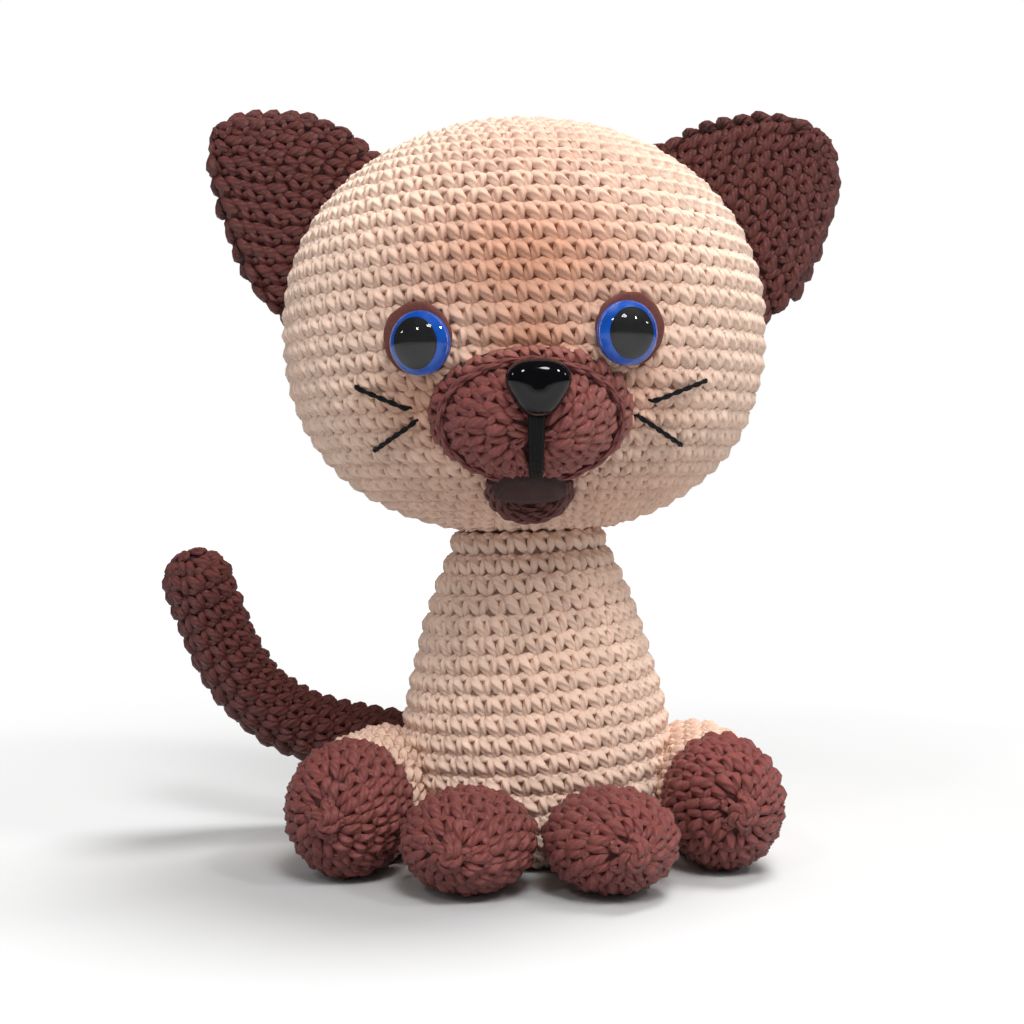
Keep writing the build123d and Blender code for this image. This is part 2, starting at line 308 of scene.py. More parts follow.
class Finishes:
    """Every material of the toy, built once."""

    def __init__(self) -> None:
        """Builds all finishes."""
        # Each yarn's second colour is its painted shade, mixed in at the deep ends of stitches and over the
        # inner ply.
        # Beige cotton with a peach tint airbrushed over face and body: warm, matt, evenly lit.
        self.beige = YarnFinish("mercerised_cotton_beige", "#EBCFBC", "#7A4838", "#BE8569").build()
        # Mauve-brown cotton of muzzle and paws; its paler tint colour is airbrushed on the muzzle's top edge
        # and painted on its right cheek as light from the upper right.
        self.brown = YarnFinish("mercerised_cotton_brown", "#80423D", "#3A1210", "#AE7063", roughness=0.5,
                                specular=0.6).build()
        # Darker cotton of ears and tail.
        self.dark = YarnFinish("mercerised_cotton_dark_brown", "#5F2E2A", "#280B09", "#5F2E2A",
                               roughness=0.5, specular=0.6).build()
        # Stranded embroidery cotton, black, a little satin.
        self.thread = YarnFinish("stranded_embroidery_cotton_black", "#0D0D11", "#040405", "#0D0D11",
                                 roughness=0.6, sheen=0.0, specular=0.25, ply_pitch=1.2, ridge=0.03).build()
        # Pressed wool felt: smooth and dusky, with short matted fibres.
        self.felt = PlainFinish("pressed_wool_felt_dusky", "#7A443A", "#522B25", 0.95, 0.5, 0.12,
                                sheen=0.1).build()
        # Painted back plate of the safety eye, gloss acrylic lacquer.
        self.iris = PlainFinish("acrylic_lacquer_blue", "#0648AC", "#0F66D4", 0.3, 3.0, 0.0).build()
        # Black gloss ABS of pupil and nose.
        self.black = PlainFinish("moulded_abs_gloss_black", "#08080A", "#0D0D10", 0.07, 2.0, 0.0).build()
        # Black gloss lacquer of the pupil, printed on the plate.
        self.pupil = PlainFinish("lacquer_black_printed", "#050506", "#09090B", 0.5, 2.0, 0.0).build()
        # Clear cast acrylic of the eye's dome.
        self.clear = ClearFinish("cast_acrylic_clear").build()
        # Natural polypropylene of the lock washers, never seen.
        self.washer = PlainFinish("moulded_polypropylene_natural", "#E4E4DF", "#D4D4CC", 0.5, 1.0,
                                  0.02).build()


# ---------------------------------------------------------------- forms


class Form:
    """A surface told by how far along it, 0 to 1, and how far around it, in radians."""

    def at(self, along: Array, around: Array) -> Array:
        """Points of the surface."""
        raise NotImplementedError


@dataclass
class Lathe(Form):
    """A turned form, round or oval, about an axis.

    The cross product of across and rise is the axis, so that increasing around runs to the right
    of a stitch that grows along the axis.
    """

    origin: Array
    across: Array
    rise: Array
    profile: Callable[[Array], tuple[Array, Array]]
    wide: float = 1.0
    tall: float = 1.0

    def at(self, along: Array, around: Array) -> Array:
        """Points of the surface."""
        height, radius = self.profile(along)
        axis = np.cross(self.across, self.rise)
        return (self.origin + height[:, None] * axis
                + (radius * self.wide * np.cos(around))[:, None] * self.across
                + (radius * self.tall * np.sin(around))[:, None] * self.rise)


@dataclass
class Tube(Form):
    """A round tube along a bent middle line, with a ball at its start."""

    line: Array                      # points of the middle line
    radius: float

    def __post_init__(self) -> None:
        """Works out lengths and a steady frame along the line."""
        steps = np.linalg.norm(np.diff(self.line, axis=0), axis=1)
        self.run = np.concatenate([[0.0], np.cumsum(steps)])
        self.tangent = unit(np.gradient(self.line, axis=0))
        side = unit(np.cross(self.tangent[0], vec(0, 1, 0)))
        sides = []
        for tangent in self.tangent:
            side = unit(side - tangent * np.dot(side, tangent))
            sides.append(side)
        self.side = np.array(sides)

    def at(self, along: Array, around: Array) -> Array:
        """Points of the surface."""
        length = self.run[-1]
        arc = self.radius * math.pi / 2
        share = along * (length + arc)
        on_ball = np.clip(share / arc, 0, 1) * math.pi / 2
        where = np.clip(share - arc, 0, None)
        centre = np.stack([np.interp(where, self.run, self.line[:, k]) for k in range(3)], 1)
        tangent = unit(np.stack([np.interp(where, self.run, self.tangent[:, k]) for k in range(3)], 1))
        side = unit(np.stack([np.interp(where, self.run, self.side[:, k]) for k in range(3)], 1))
        other = np.cross(tangent, side)
        ring = self.radius * np.sin(on_ball)
        back = self.radius * np.cos(on_ball)
        return (centre - back[:, None] * tangent
                + (ring * np.cos(around))[:, None] * side
                + (ring * np.sin(around))[:, None] * other)


@dataclass
class EarForm(Form):
    """A flat two-ply ear between an upper and a lower edge, from its tip to its foot."""

    upper: Array                     # points of the upper edge, tip first
    lower: Array
    half_thick: float
    foot_centre: Array               # centre of the round head that the foot sits on
    bow: float                       # how far the middle of a row stands out from its ends

    def edge(self, points: Array, along: Array) -> Array:
        """A smooth curve through an edge's points, evenly travelled."""
        steps = np.linalg.norm(np.diff(points, axis=0), axis=1)
        run = np.concatenate([[0.0], np.cumsum(steps)])
        run = run / run[-1]
        fine = np.linspace(0, 1, 121)
        curve = np.stack([np.interp(fine, run, points[:, k]) for k in range(3)], 1)
        for _ in range(40):
            curve[1:-1] = (curve[:-2] + 2 * curve[1:-1] + curve[2:]) / 4
        return np.stack([np.interp(along, fine, curve[:, k]) for k in range(3)], 1)

    def at(self, along: Array, around: Array) -> Array:
        """Points of the surface."""
        up = self.edge(self.upper, along)
        low = self.edge(self.lower, along)
        middle = (up + low) / 2
        half = (up - low) / 2
        outward = unit(middle - self.foot_centre)
        across = np.cos(around)
        bulge = (1 - across ** 2) * self.bow * along
        end = np.minimum(1.0, np.sqrt(np.clip(along / 0.16, 0, 1)))
        thick = self.half_thick * np.sin(around) * end
        return middle + across[:, None] * half + bulge[:, None] * outward + thick[:, None] * vec(0, 1, 0)


@dataclass
class MoundForm(Form):
    """A mound on the head: points are laid on a tilted plane, dropped to the head, then raised."""

    centre: Array
    tilt: float                      # radians that the mound looks down
    half: tuple[float, float]
    head: "HeadShape"
    lift: Callable[[Array, Array, Array], Array]
    reverse: float = -1.0

    def axes(self) -> tuple[Array, Array, Array]:
        """Right, up and outward of the mound's plane."""
        out = vec(0, -math.cos(self.tilt), -math.sin(self.tilt))
        right = vec(1, 0, 0)
        return right, np.cross(out, right), out

    def at(self, along: Array, around: Array) -> Array:
        """Points of the surface."""
        right, up, out = self.axes()
        across = self.half[0] * along * np.cos(self.reverse * around)
        rise = self.half[1] * along * np.sin(self.reverse * around)
        base = self.centre + across[:, None] * right + rise[:, None] * up
        drop = self.head.distance(base, out)
        height = drop + self.lift(along, across, rise)
        return base + height[:, None] * out


@dataclass
class HeadShape:
    """The head's flattened ball, squarer below than above."""

    centre: Array
    radius: float
    up: float
    down: float
    crown_power: float = 2.1
    jaw_power: float = 2.35

    def profile(self, along: Array) -> tuple[Array, Array]:
        """Height over the widest row and radius, from the neck at 0 to the crown at 1."""
        angle = (along - 0.5) * math.pi
        above = angle >= 0
        power = np.where(above, self.crown_power, self.jaw_power)
        half = np.where(above, self.up, self.down)
        radius = self.radius * np.clip(np.cos(angle), 0, 1) ** (2 / power)
        height = half * np.sign(angle) * np.abs(np.sin(angle)) ** (2 / power)
        return height, radius

    def inside(self, points: Array) -> Array:
        """Below one inside the head, one on it and above one outside."""
        local = points - self.centre
        above = local[..., 2] >= 0
        power = np.where(above, self.crown_power, self.jaw_power)
        half = np.where(above, self.up, self.down)
        ring = np.linalg.norm(local[..., :2], axis=-1) / self.radius
        return ring ** power + np.abs(local[..., 2] / half) ** power

    def distance(self, points: Array, out: Array) -> Array:
        """How far along out each point's line leaves the head."""
        low = np.full(len(points), -30 * MM)
        high = np.full(len(points), 15 * MM)
        for _ in range(40):
            middle = (low + high) / 2
            within = self.inside(points + middle[:, None] * out) < 1
            low = np.where(within, middle, low)
            high = np.where(within, high, middle)
        return low

    def on_front(self, across: float, height: float) -> Array:
        """The front point of the head at a place across and a height, in the row frame."""
        start = vec(across, self.centre[1], height)[None, :]
        reach = 2 * self.radius
        low, high = 0.0, reach
        for _ in range(50):
            middle = (low + high) / 2
            if self.inside(start + middle * vec(0, -1, 0))[0] < 1:
                low = middle
            else:
                high = middle
        return start[0] + low * vec(0, -1, 0)

    def outward(self, point: Array) -> Array:
        """The head's outward direction at a point on it."""
        step = 0.05 * MM
        slope = [self.inside((point + step * axis)[None, :])[0]
                 - self.inside((point - step * axis)[None, :])[0] for axis in np.eye(3)]
        return unit(np.array(slope))


# ---------------------------------------------------------------- crochet


SPIRAL_FADE = 4                      # rounds over which the spiral evens out at both ends


@dataclass(frozen=True)
class Gauge:
    """Size of one single crochet stitch, in metres, and how rounds grow."""

    wide: float = 4.05 * MM
    tall: float = 3.75 * MM
    step: int = 6                    # a round's stitches come in multiples of this
    least: int = 6                   # stitches in the first round
    lean: float = 0.28               # stitches that each round leans to the right
    depth: float = 4.1 * MM          # size that the stitch's relief is drawn to


@dataclass
class Seats:
    """Where every stitch of a piece sits."""

    place: Array
    right: Array
    up: Array
    out: Array
    size: Array

    def picked(self, mask: Array) -> "Seats":
        """The seats where mask is true."""
        return Seats(*(getattr(self, part.name)[mask] for part in fields(self)))


def seats_at(form: Form, along: Array, around: Array, low: Array, high: Array, left: Array,
             right: Array, gauge: Gauge) -> Seats:
    """Frames and sizes of stitches from their middle, their ends and their sides.

    Args:
        form: The surface.
        along: How far along each stitch's middle is.
        around: How far around it is.
        low: How far along its foot is.
        high: How far along its head is.
        left: How far around its left side is.
        right: How far around its right side is.
        gauge: The piece's gauge.

    Returns:
        The seats.
    """
    place = form.at(along, around)
    rise = form.at(high, around) - form.at(low, around)
    span = form.at(along, right) - form.at(along, left)
    out = unit(np.cross(span, rise))
    up = unit(rise)
    wide = np.linalg.norm(span, axis=1)
    tall = np.linalg.norm(rise, axis=1)
    relief = gauge.depth * np.clip(np.minimum(wide / gauge.wide, 1.0), 0.6, 1.0)
    return Seats(place, np.cross(up, out), up, out, np.stack([wide, tall, relief], 1))


def lay_rounds(form: Form, gauge: Gauge, seam: float = 0.25) -> Seats:
    """Lays single crochet over a form in one long spiral.

    Args:
        form: The surface, its start at the first round.
        gauge: The piece's gauge.
        seam: Where a round begins, as a share of a turn.

    Returns:
        A seat for every stitch.
    """
    along = np.linspace(0, 1, 321)
    meridians = [form.at(along, np.full_like(along, FULL_TURN * k / 12)) for k in range(12)]
    steps = np.mean([np.linalg.norm(np.diff(m, axis=0), axis=1) for m in meridians], 0)
    run = np.concatenate([[0.0], np.cumsum(steps)])
    rounds = max(1, round(run[-1] / gauge.tall))
    tall = run[-1] / rounds
    ring = np.linspace(0, FULL_TURN, 97)
    parts = []
    phase = seam
    for row in range(rounds):
        middle = np.interp((row + 0.5) * tall, run, along)
        loop = form.at(np.full_like(ring, middle), ring)
        lengths = np.concatenate([[0.0], np.cumsum(np.linalg.norm(np.diff(loop, axis=0), axis=1))])
        count = max(gauge.least, math.ceil(lengths[-1] / gauge.wide / gauge.step - 0.3) * gauge.step)
        phase += gauge.lean / count
        spiral = min(1.0, row / SPIRAL_FADE, (rounds - 1 - row) / SPIRAL_FADE)
        number = np.arange(count)
        share = phase + number / count
        height = (row + 0.5 + (number / count - 0.5) * spiral) * tall

        def turn(shares: Array, lengths: Array = lengths) -> Array:
            """Angle at a share of the round's length, counted past whole turns."""
            whole = np.floor(shares)
            return np.interp((shares - whole) * lengths[-1], lengths, ring) + whole * FULL_TURN

        def reach(distance: Array) -> Array:
            """How far along the form a distance from its start is."""
            return np.interp(distance, run, along)

        parts.append(seats_at(form, reach(height), turn(share), reach(height - tall / 2),
                              reach(height + tall / 2), turn(share - 0.5 / count),
                              turn(share + 0.5 / count), gauge))
    return Seats(*(np.concatenate([getattr(p, part.name) for p in parts]) for part in fields(Seats)))


class StitchShape:
    """The loops of one single crochet stitch as three bent strands.

    Sizes are shares of the stitch: x of its width, y of its height and z of its relief, with z 0
    at the outer surface. The hooked hole is at the bottom, between the legs.
    """

    SIDES = 6
    LEFT_LEG = [(0.00, -0.55, -0.56, 0.14), (-0.08, -0.38, -0.40, 0.19), (-0.22, -0.13, -0.29, 0.255),
                (-0.38, 0.13, -0.25, 0.295), (-0.50, 0.36, -0.31, 0.285), (-0.57, 0.56, -0.50, 0.20)]
    RIGHT_LEG = [(0.08, -0.53, -0.56, 0.13), (0.14, -0.35, -0.40, 0.17), (0.20, -0.10, -0.29, 0.22),
                 (0.23, 0.15, -0.25, 0.25), (0.22, 0.38, -0.33, 0.24), (0.18, 0.57, -0.50, 0.17)]
    TOP_LOOP = [(-0.50, 0.36, -0.48, 0.15), (-0.34, 0.46, -0.36, 0.21), (-0.15, 0.50, -0.31, 0.24),
                (0.02, 0.46, -0.36, 0.21), (0.14, 0.36, -0.48, 0.15)]

    def __init__(self, seed: int) -> None:
        """Makes one variant of the stitch, a little different for each seed."""
        rng = np.random.default_rng(seed)
        self.strands = []
        for points in (self.LEFT_LEG, self.RIGHT_LEG, self.TOP_LOOP):
            loop = np.array(points)
            loop[:, :3] += rng.normal(0, 0.018, (len(loop), 3)) + rng.normal(0, 0.014, 3)
            loop[:, 3] *= rng.uniform(0.93, 1.06)
            self.strands.append(loop)

    def build(self, name: str) -> bpy.types.Object:
        """Builds the stitch's mesh in shares of its size.

        Args:
            name: The object's name.

        Returns:
            The object, with UV along and round each strand and a painted shade attribute, darker toward the
            stitch's deep ends.
        """
        parts = [tube_arrays(loop[:, :3], loop[:, 3], self.SIDES, 4 * MM) for loop in self.strands]
        data = join_arrays(parts)
        # painted shade: the deeper a vertex lies below the stitch's outer surface, the darker it is painted
        depth = np.clip((-data.verts[:, 2] - 0.20) / 0.45, 0, 1) ** 1.3
        return data.to_object(name, {"deep": depth})


@dataclass
class MeshArrays:
    """Vertices, faces and a UV per face corner, before they become a mesh."""

    verts: Array
    faces: list
    uvs: Array

    def faced_out(self) -> "MeshArrays":
        """The same closed skin with its faces looking outward."""
        middle = self.verts.mean(0)
        volume = 0.0
        for face in self.faces:
            a = self.verts[face[0]] - middle
            for i in range(1, len(face) - 1):
                volume += np.dot(a, np.cross(self.verts[face[i]] - middle, self.verts[face[i + 1]] - middle))
        if volume >= 0:
            return self
        uvs, start = [], 0
        for face in self.faces:
            uvs.append(self.uvs[start:start + len(face)][::-1])
            start += len(face)
        return MeshArrays(self.verts, [face[::-1] for face in self.faces], np.concatenate(uvs))

    def to_object(self, name: str, attributes: Optional[dict] = None) -> bpy.types.Object:
        """Makes a smooth-shaded object of the arrays.

        Args:
            name: Its name.
            attributes: Name to one number per vertex.

        Returns:
            The object, linked to the scene.
        """
        mesh = bpy.data.meshes.new(name)
        mesh.from_pydata(self.verts.tolist(), [], self.faces)
        layer = mesh.uv_layers.new(name="UVMap")
        layer.data.foreach_set("uv", np.asarray(self.uvs, np.float32).ravel())
        mesh.shade_smooth()
        for key, values in (attributes or {}).items():
            slot = mesh.attributes.new(key, "FLOAT", "POINT")
            slot.data.foreach_set("value", np.asarray(values, np.float32))
        obj = bpy.data.objects.new(name, mesh)
        bpy.context.scene.collection.objects.link(obj)
        return obj


def tube_arrays(points: Array, radii: Array, sides: int, unit_length: float = 1.0) -> MeshArrays:
    """A closed tube along points, its ends drawn to a point.

    Args:
        points: Middle line.
        radii: Radius at each point.
        sides: Corners of its section.
        unit_length: Metres that one unit of the points stands for, for the UV.

    Returns:
        The tube's arrays.
    """
    tangent = unit(np.gradient(points, axis=0))
    side = unit(np.cross(tangent[0], vec(0.3, 0.2, 1.0)))
    angles = np.linspace(0, FULL_TURN, sides, endpoint=False)
    rings = []
    for point, direction, radius in zip(points, tangent, radii):
        side = unit(side - direction * np.dot(side, direction))
        other = np.cross(direction, side)
        rings.append(point + radius * (np.cos(angles)[:, None] * side + np.sin(angles)[:, None] * other))
    verts = np.concatenate(rings + [points[:1], points[-1:]])
    run = np.concatenate([[0.0], np.cumsum(np.linalg.norm(np.diff(points, axis=0), axis=1))]) * unit_length
    faces, uvs = [], []
    count = len(points)
    for i in range(count - 1):
        for j in range(sides):
            k = (j + 1) % sides
            faces.append((i * sides + j, i * sides + k, (i + 1) * sides + k, (i + 1) * sides + j))
            uvs += [(run[i], j / sides), (run[i], (j + 1) / sides),
                    (run[i + 1], (j + 1) / sides), (run[i + 1], j / sides)]
    first, last = count * sides, count * sides + 1
    for j in range(sides):
        k = (j + 1) % sides
        faces.append((first, k, j))
        uvs += [(run[0], 0.5), (run[0], (j + 1) / sides), (run[0], j / sides)]
        base = (count - 1) * sides
        faces.append((last, base + j, base + k))
        uvs += [(run[-1], 0.5), (run[-1], j / sides), (run[-1], (j + 1) / sides)]
    return MeshArrays(verts, faces, np.array(uvs)).faced_out()


def join_arrays(parts: Sequence[MeshArrays]) -> MeshArrays:
    """Several sets of arrays as one."""
    verts, faces, start = [], [], 0
    for part in parts:
        verts.append(part.verts)
        faces += [tuple(v + start for v in face) for face in part.faces]
        start += len(part.verts)
    return MeshArrays(np.concatenate(verts), faces, np.concatenate([p.uvs for p in parts]))


def shell_arrays(form: Form, sink: float, rows: int = 56, spokes: int = 72, start: float = 0.0,
                 end: float = 1.0) -> MeshArrays:
    """A closed skin a little inside a form, its ends drawn to their middles.

    Args:
        form: The surface.
        sink: How far inside it the skin lies.
        rows: Rings along it.
        spokes: Points round each ring.
        start: Where along the form it begins.
        end: Where along the form it ends.

    Returns:
        The skin's arrays.
    """
    step = 1e-3
    turn = FULL_TURN * np.arange(spokes) / spokes
    rings = []
    for along in np.linspace(max(start, step), min(end, 1 - step), rows):
        here = np.full(spokes, along)
        point = form.at(here, turn)
        rise = form.at(np.minimum(here + step, 1.0), turn) - form.at(np.maximum(here - step, 0.0), turn)
        span = form.at(here, turn + step) - form.at(here, turn - step)
        rings.append(point - sink * unit(np.cross(span, rise)))
    verts = np.concatenate(rings + [rings[0].mean(0)[None, :], rings[-1].mean(0)[None, :]])
    faces, uvs = [], []
    for i in range(rows - 1):
        for j in range(spokes):
            k = (j + 1) % spokes
            faces.append((i * spokes + j, i * spokes + k, (i + 1) * spokes + k, (i + 1) * spokes + j))
            uvs += [(i / rows, j / spokes), (i / rows, (j + 1) / spokes),
                    ((i + 1) / rows, (j + 1) / spokes), ((i + 1) / rows, j / spokes)]
    first, last, base = rows * spokes, rows * spokes + 1, (rows - 1) * spokes
    for j in range(spokes):
        k = (j + 1) % spokes
        faces.append((first, k, j))
        faces.append((last, base + j, base + k))
        uvs += [(0, 0.5)] * 3 + [(1, 0.5)] * 3
    return MeshArrays(verts, faces, np.array(uvs)).faced_out()


class StitchWorks:
    """The Geometry Nodes tree that sets a stitch on every seat, and its three stitch variants."""

    def __init__(self) -> None:
        """Builds the stitch variants and the tree."""
        self.variants = [StitchShape(seed).build(f"stitch_variant_{seed}") for seed in (11, 12, 13)]
        self.tree = bpy.data.node_groups.new("single_crochet_rounds", "GeometryNodeTree")
        face = self.tree.interface
        face.new_socket("Geometry", in_out="INPUT", socket_type="NodeSocketGeometry")
        for name in ("Stitch A", "Stitch B", "Stitch C"):
            face.new_socket(name, in_out="INPUT", socket_type="NodeSocketObject")
        face.new_socket("Twist", in_out="INPUT", socket_type="NodeSocketFloat")
        face.new_socket("Swell", in_out="INPUT", socket_type="NodeSocketFloat")
        face.new_socket("Seed", in_out="INPUT", socket_type="NodeSocketInt")
        face.new_socket("Yarn", in_out="INPUT", socket_type="NodeSocketMaterial")
        face.new_socket("Geometry", in_out="OUTPUT", socket_type="NodeSocketGeometry")
        self._fill()

    def _fill(self) -> None:
        """Adds the tree's nodes."""
        tree = self.tree
        source = add_node(tree, "NodeGroupInput")
        vectors = {name: add_node(tree, "GeometryNodeInputNamedAttribute", {"Name": name},
                                  data_type="FLOAT_VECTOR").outputs["Attribute"]
                   for name in ("outward", "upward", "stitch_size")}
        turned = add_node(tree, "FunctionNodeAxesToRotation", {
            "Primary Axis": vectors["outward"], "Secondary Axis": vectors["upward"]},
            primary_axis="Z", secondary_axis="Y")
        less = add_node(tree, "ShaderNodeMath", {0: source.outputs["Twist"], 1: -1.0}, operation="MULTIPLY")
        sway = add_node(tree, "FunctionNodeRandomValue", {
            2: less.outputs[0], 3: source.outputs["Twist"], "Seed": source.outputs["Seed"]})
        sway_turn = add_node(tree, "ShaderNodeCombineXYZ", {"Z": sway.outputs[1]})
        spin = add_node(tree, "FunctionNodeEulerToRotation", {"Euler": sway_turn.outputs[0]})
        rotation = add_node(tree, "FunctionNodeRotateRotation", {
            "Rotation": turned.outputs[0], "Rotate By": spin.outputs[0]}, rotation_space="LOCAL")
        small = add_node(tree, "ShaderNodeMath", {0: 1.0, 1: source.outputs["Swell"]}, operation="SUBTRACT")
        large = add_node(tree, "ShaderNodeMath", {0: 1.0, 1: source.outputs["Swell"]}, operation="ADD")
        swell = add_node(tree, "FunctionNodeRandomValue", {
            2: small.outputs[0], 3: large.outputs[0], "Seed": source.outputs["Seed"]})
        size = add_node(tree, "ShaderNodeVectorMath", {
            0: vectors["stitch_size"], "Scale": swell.outputs[1]}, operation="SCALE")
        which = add_node(tree, "FunctionNodeRandomValue", {
            4: 0, 5: 2, "Seed": source.outputs["Seed"]}, data_type="INT")
        joined = add_node(tree, "GeometryNodeJoinGeometry")
        for name in ("Stitch C", "Stitch B", "Stitch A"):
            info = add_node(tree, "GeometryNodeObjectInfo", {
                "Object": source.outputs[name], "As Instance": True})
            tree.links.new(info.outputs["Geometry"], joined.inputs[0])
        placed = add_node(tree, "GeometryNodeInstanceOnPoints", {
            "Points": source.outputs["Geometry"], "Instance": joined.outputs[0],
            "Pick Instance": True, "Instance Index": which.outputs[2],
            "Rotation": rotation.outputs[0], "Scale": size.outputs[0]})
        real = add_node(tree, "GeometryNodeRealizeInstances", {"Geometry": placed.outputs[0]})
        dyed = add_node(tree, "GeometryNodeSetMaterial", {
            "Geometry": real.outputs[0], "Material": source.outputs["Yarn"]})
        add_node(tree, "NodeGroupOutput", {"Geometry": dyed.outputs[0]})

    def crochet(self, name: str, seats: Seats, yarn: bpy.types.Material, seed: int,
                tint: Optional[Callable[[Array], Array]] = None) -> bpy.types.Object:
        """Crochets one piece.

        Args:
            name: The piece's name.
            seats: Its stitches.
            yarn: Its yarn.
            seed: Fixes its small differences.
            tint: Gives the airbrushed share at points.

        Returns:
            The piece as one plain mesh.
        """
        rng = np.random.default_rng(seed)
        mesh = bpy.data.meshes.new(name + "_seats")
        mesh.from_pydata(seats.place.tolist(), [], [])
        for key, values in (("outward", seats.out), ("upward", seats.up), ("stitch_size", seats.size)):
            slot = mesh.attributes.new(key, "FLOAT_VECTOR", "POINT")
            slot.data.foreach_set("vector", np.asarray(values, np.float32).ravel())
        tone = mesh.attributes.new("tone", "FLOAT", "POINT")
        tone.data.foreach_set("value", rng.uniform(0, 1, len(seats.place)).astype(np.float32))
        holder = bpy.data.objects.new(name + "_seats", mesh)
        bpy.context.scene.collection.objects.link(holder)
        modifier = holder.modifiers.new("rounds", "NODES")
        modifier.node_group = self.tree
        values = {"Stitch A": self.variants[0], "Stitch B": self.variants[1], "Stitch C": self.variants[2],
                  "Twist": 0.10, "Swell": 0.05, "Seed": seed, "Yarn": yarn}
        for item in self.tree.interface.items_tree:
            if item.in_out == "INPUT" and item.name in values:
                modifier[item.identifier] = values[item.name]
        graph = bpy.context.evaluated_depsgraph_get()
        graph.update()
        result = bpy.data.meshes.new_from_object(holder.evaluated_get(graph))
        bpy.data.objects.remove(holder)
        result.name = name
        for key in ("outward", "upward", "stitch_size"):
            if key in result.attributes:
                result.attributes.remove(result.attributes[key])
        result.shade_smooth()
        places = np.empty(len(result.vertices) * 3, np.float32)
        result.vertices.foreach_get("co", places)
        shares = tint(places.reshape(-1, 3)) if tint else np.zeros(len(result.vertices))
        slot = result.attributes.new("tint", "FLOAT", "POINT")
        slot.data.foreach_set("value", np.asarray(shares, np.float32))
        piece = bpy.data.objects.new(name, result)
        bpy.context.scene.collection.objects.link(piece)
        LOG.info("%s: %d stitches, %d faces", name, len(seats.place), len(result.polygons))
        return piece

    def clear(self) -> None:
        """Removes the stitch variants once every piece is crocheted."""
        for variant in self.variants:
            bpy.data.objects.remove(variant)


@dataclass
class Workshop:
    """What every class needs: materials and the stitch tree."""

    finishes: Finishes
    works: StitchWorks

    def settle(self, piece: bpy.types.Object, body: str, nodes: Sequence[str] = ()) -> None:
        """Rides a piece on its body and the CAD nodes it stands for."""
        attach(piece, body)
        if nodes:
            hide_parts(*nodes)

    @staticmethod
    def bend_with_head(piece: bpy.types.Object, slot: str, nodes: Sequence[str] = ()) -> None:
        """Bakes a neck piece's placement into its mesh and hides the CAD nodes it stands for."""
        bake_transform(piece)
        if nodes:
            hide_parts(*nodes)

    def toe_coil(self, name: str, form: Form, yarn: bpy.types.Material, body: str) -> None:
        """Winds the drawn-up ring that a paw starts from, a small lump of yarn at its toe.

        Args:
            name: The piece's name.
            form: The paw's surface, which starts at its toe.
            yarn: Its yarn.
            body: The body it rides on.
        """
        turn = np.linspace(0, COIL_TURNS * FULL_TURN, 60)
        ring = form.at(np.full(48, 0.5), np.linspace(0, FULL_TURN, 48, endpoint=False))
        start = form.at(np.array([0.0]), np.array([0.0]))[0]
        out = unit(start - ring.mean(0))
        side = unit(np.cross(out, vec(0, 0, 1)))
        other = np.cross(out, side)
        reach = COIL_REACH * (0.25 + 0.75 * turn / turn[-1])
        rise = COIL_PROUD - 0.9 * MM * (turn / turn[-1]) ** 2
        line = (start + rise[:, None] * out + (reach * np.cos(turn))[:, None] * side
                + (reach * np.sin(turn))[:, None] * other)
        piece = strand_object(name, line, COIL_STRAND, plies=2, turn_length=4 * MM)
        piece.data.materials.append(yarn)
        self.settle(piece, body)

    def core(self, name: str, form: Form, yarn: bpy.types.Material, sink: float, fill: float,
             tint: Optional[Callable[[Array], Array]] = None, **spans) -> bpy.types.Object:
        """Makes the stuffed inner ply of a piece, seen only between its stitches, where it carries painted
        shade.

        Args:
            name: The piece's name.
            form: The surface.
            yarn: Its yarn.
            sink: How far inside the form it lies.
            fill: Not used.
            tint: Gives the airbrushed share at points.
            **spans: Passed to shell_arrays.

        Returns:
            The padded piece, without a body yet.
        """
        data = shell_arrays(form, sink, **spans)
        shares = tint(data.verts) if tint else np.zeros(len(data.verts))
        # painted shade: the whole inner ply carries CORE_SHADE of its yarn's shade colour
        piece = data.to_object(name, {"deep": np.full(len(data.verts), CORE_SHADE), "tint": shares,
                                      "tone": np.full(len(data.verts), 0.5)})
        piece.data.materials.append(yarn)
        return piece


CORE_SINK = 1.2 * MM
COIL_TURNS = 1.75                    # turns of yarn in a toe's starting ring
COIL_REACH = 2.3 * MM
COIL_PROUD = 0.15 * MM
COIL_STRAND = 1.3 * MM
CORE_SHADE = 0.50                    # share of painted shade on the inner ply, so that it looks dark between stitches


# ---------------------------------------------------------------- the cat's parts


@dataclass
class Tints:
    """Where peach is airbrushed over the beige yarn: centre, reach and strength of each spot."""

    spots: list = field(default_factory=lambda: [
        (vec(-2, -44, 108), vec(25, 32, 17), 0.90),
        (vec(-3, -38, 126), vec(30, 30, 13), 0.45),
        (vec(-20, -42, 84), vec(13, 20, 10), 0.75),
        (vec(15, -42, 86), vec(13, 20, 10), 0.62),
        (vec(-2, -44, 94), vec(14, 20, 16), 0.90),
        (vec(-2, -28, 70), vec(34, 26, 10), 0.42),
        (vec(0, -24, 34), vec(20, 26, 36), 0.24),
    ])
    general: float = 0.06

    def __call__(self, points: Array) -> Array:
        """The tint's share at points in metres."""
        share = np.full(len(points), self.general)
        for centre, reach, strength in self.spots:
            far = np.linalg.norm((points / MM - centre) / reach, axis=1)
            share = np.maximum(share, strength * np.exp(-far ** 2))
        return np.clip(share, 0, 1)


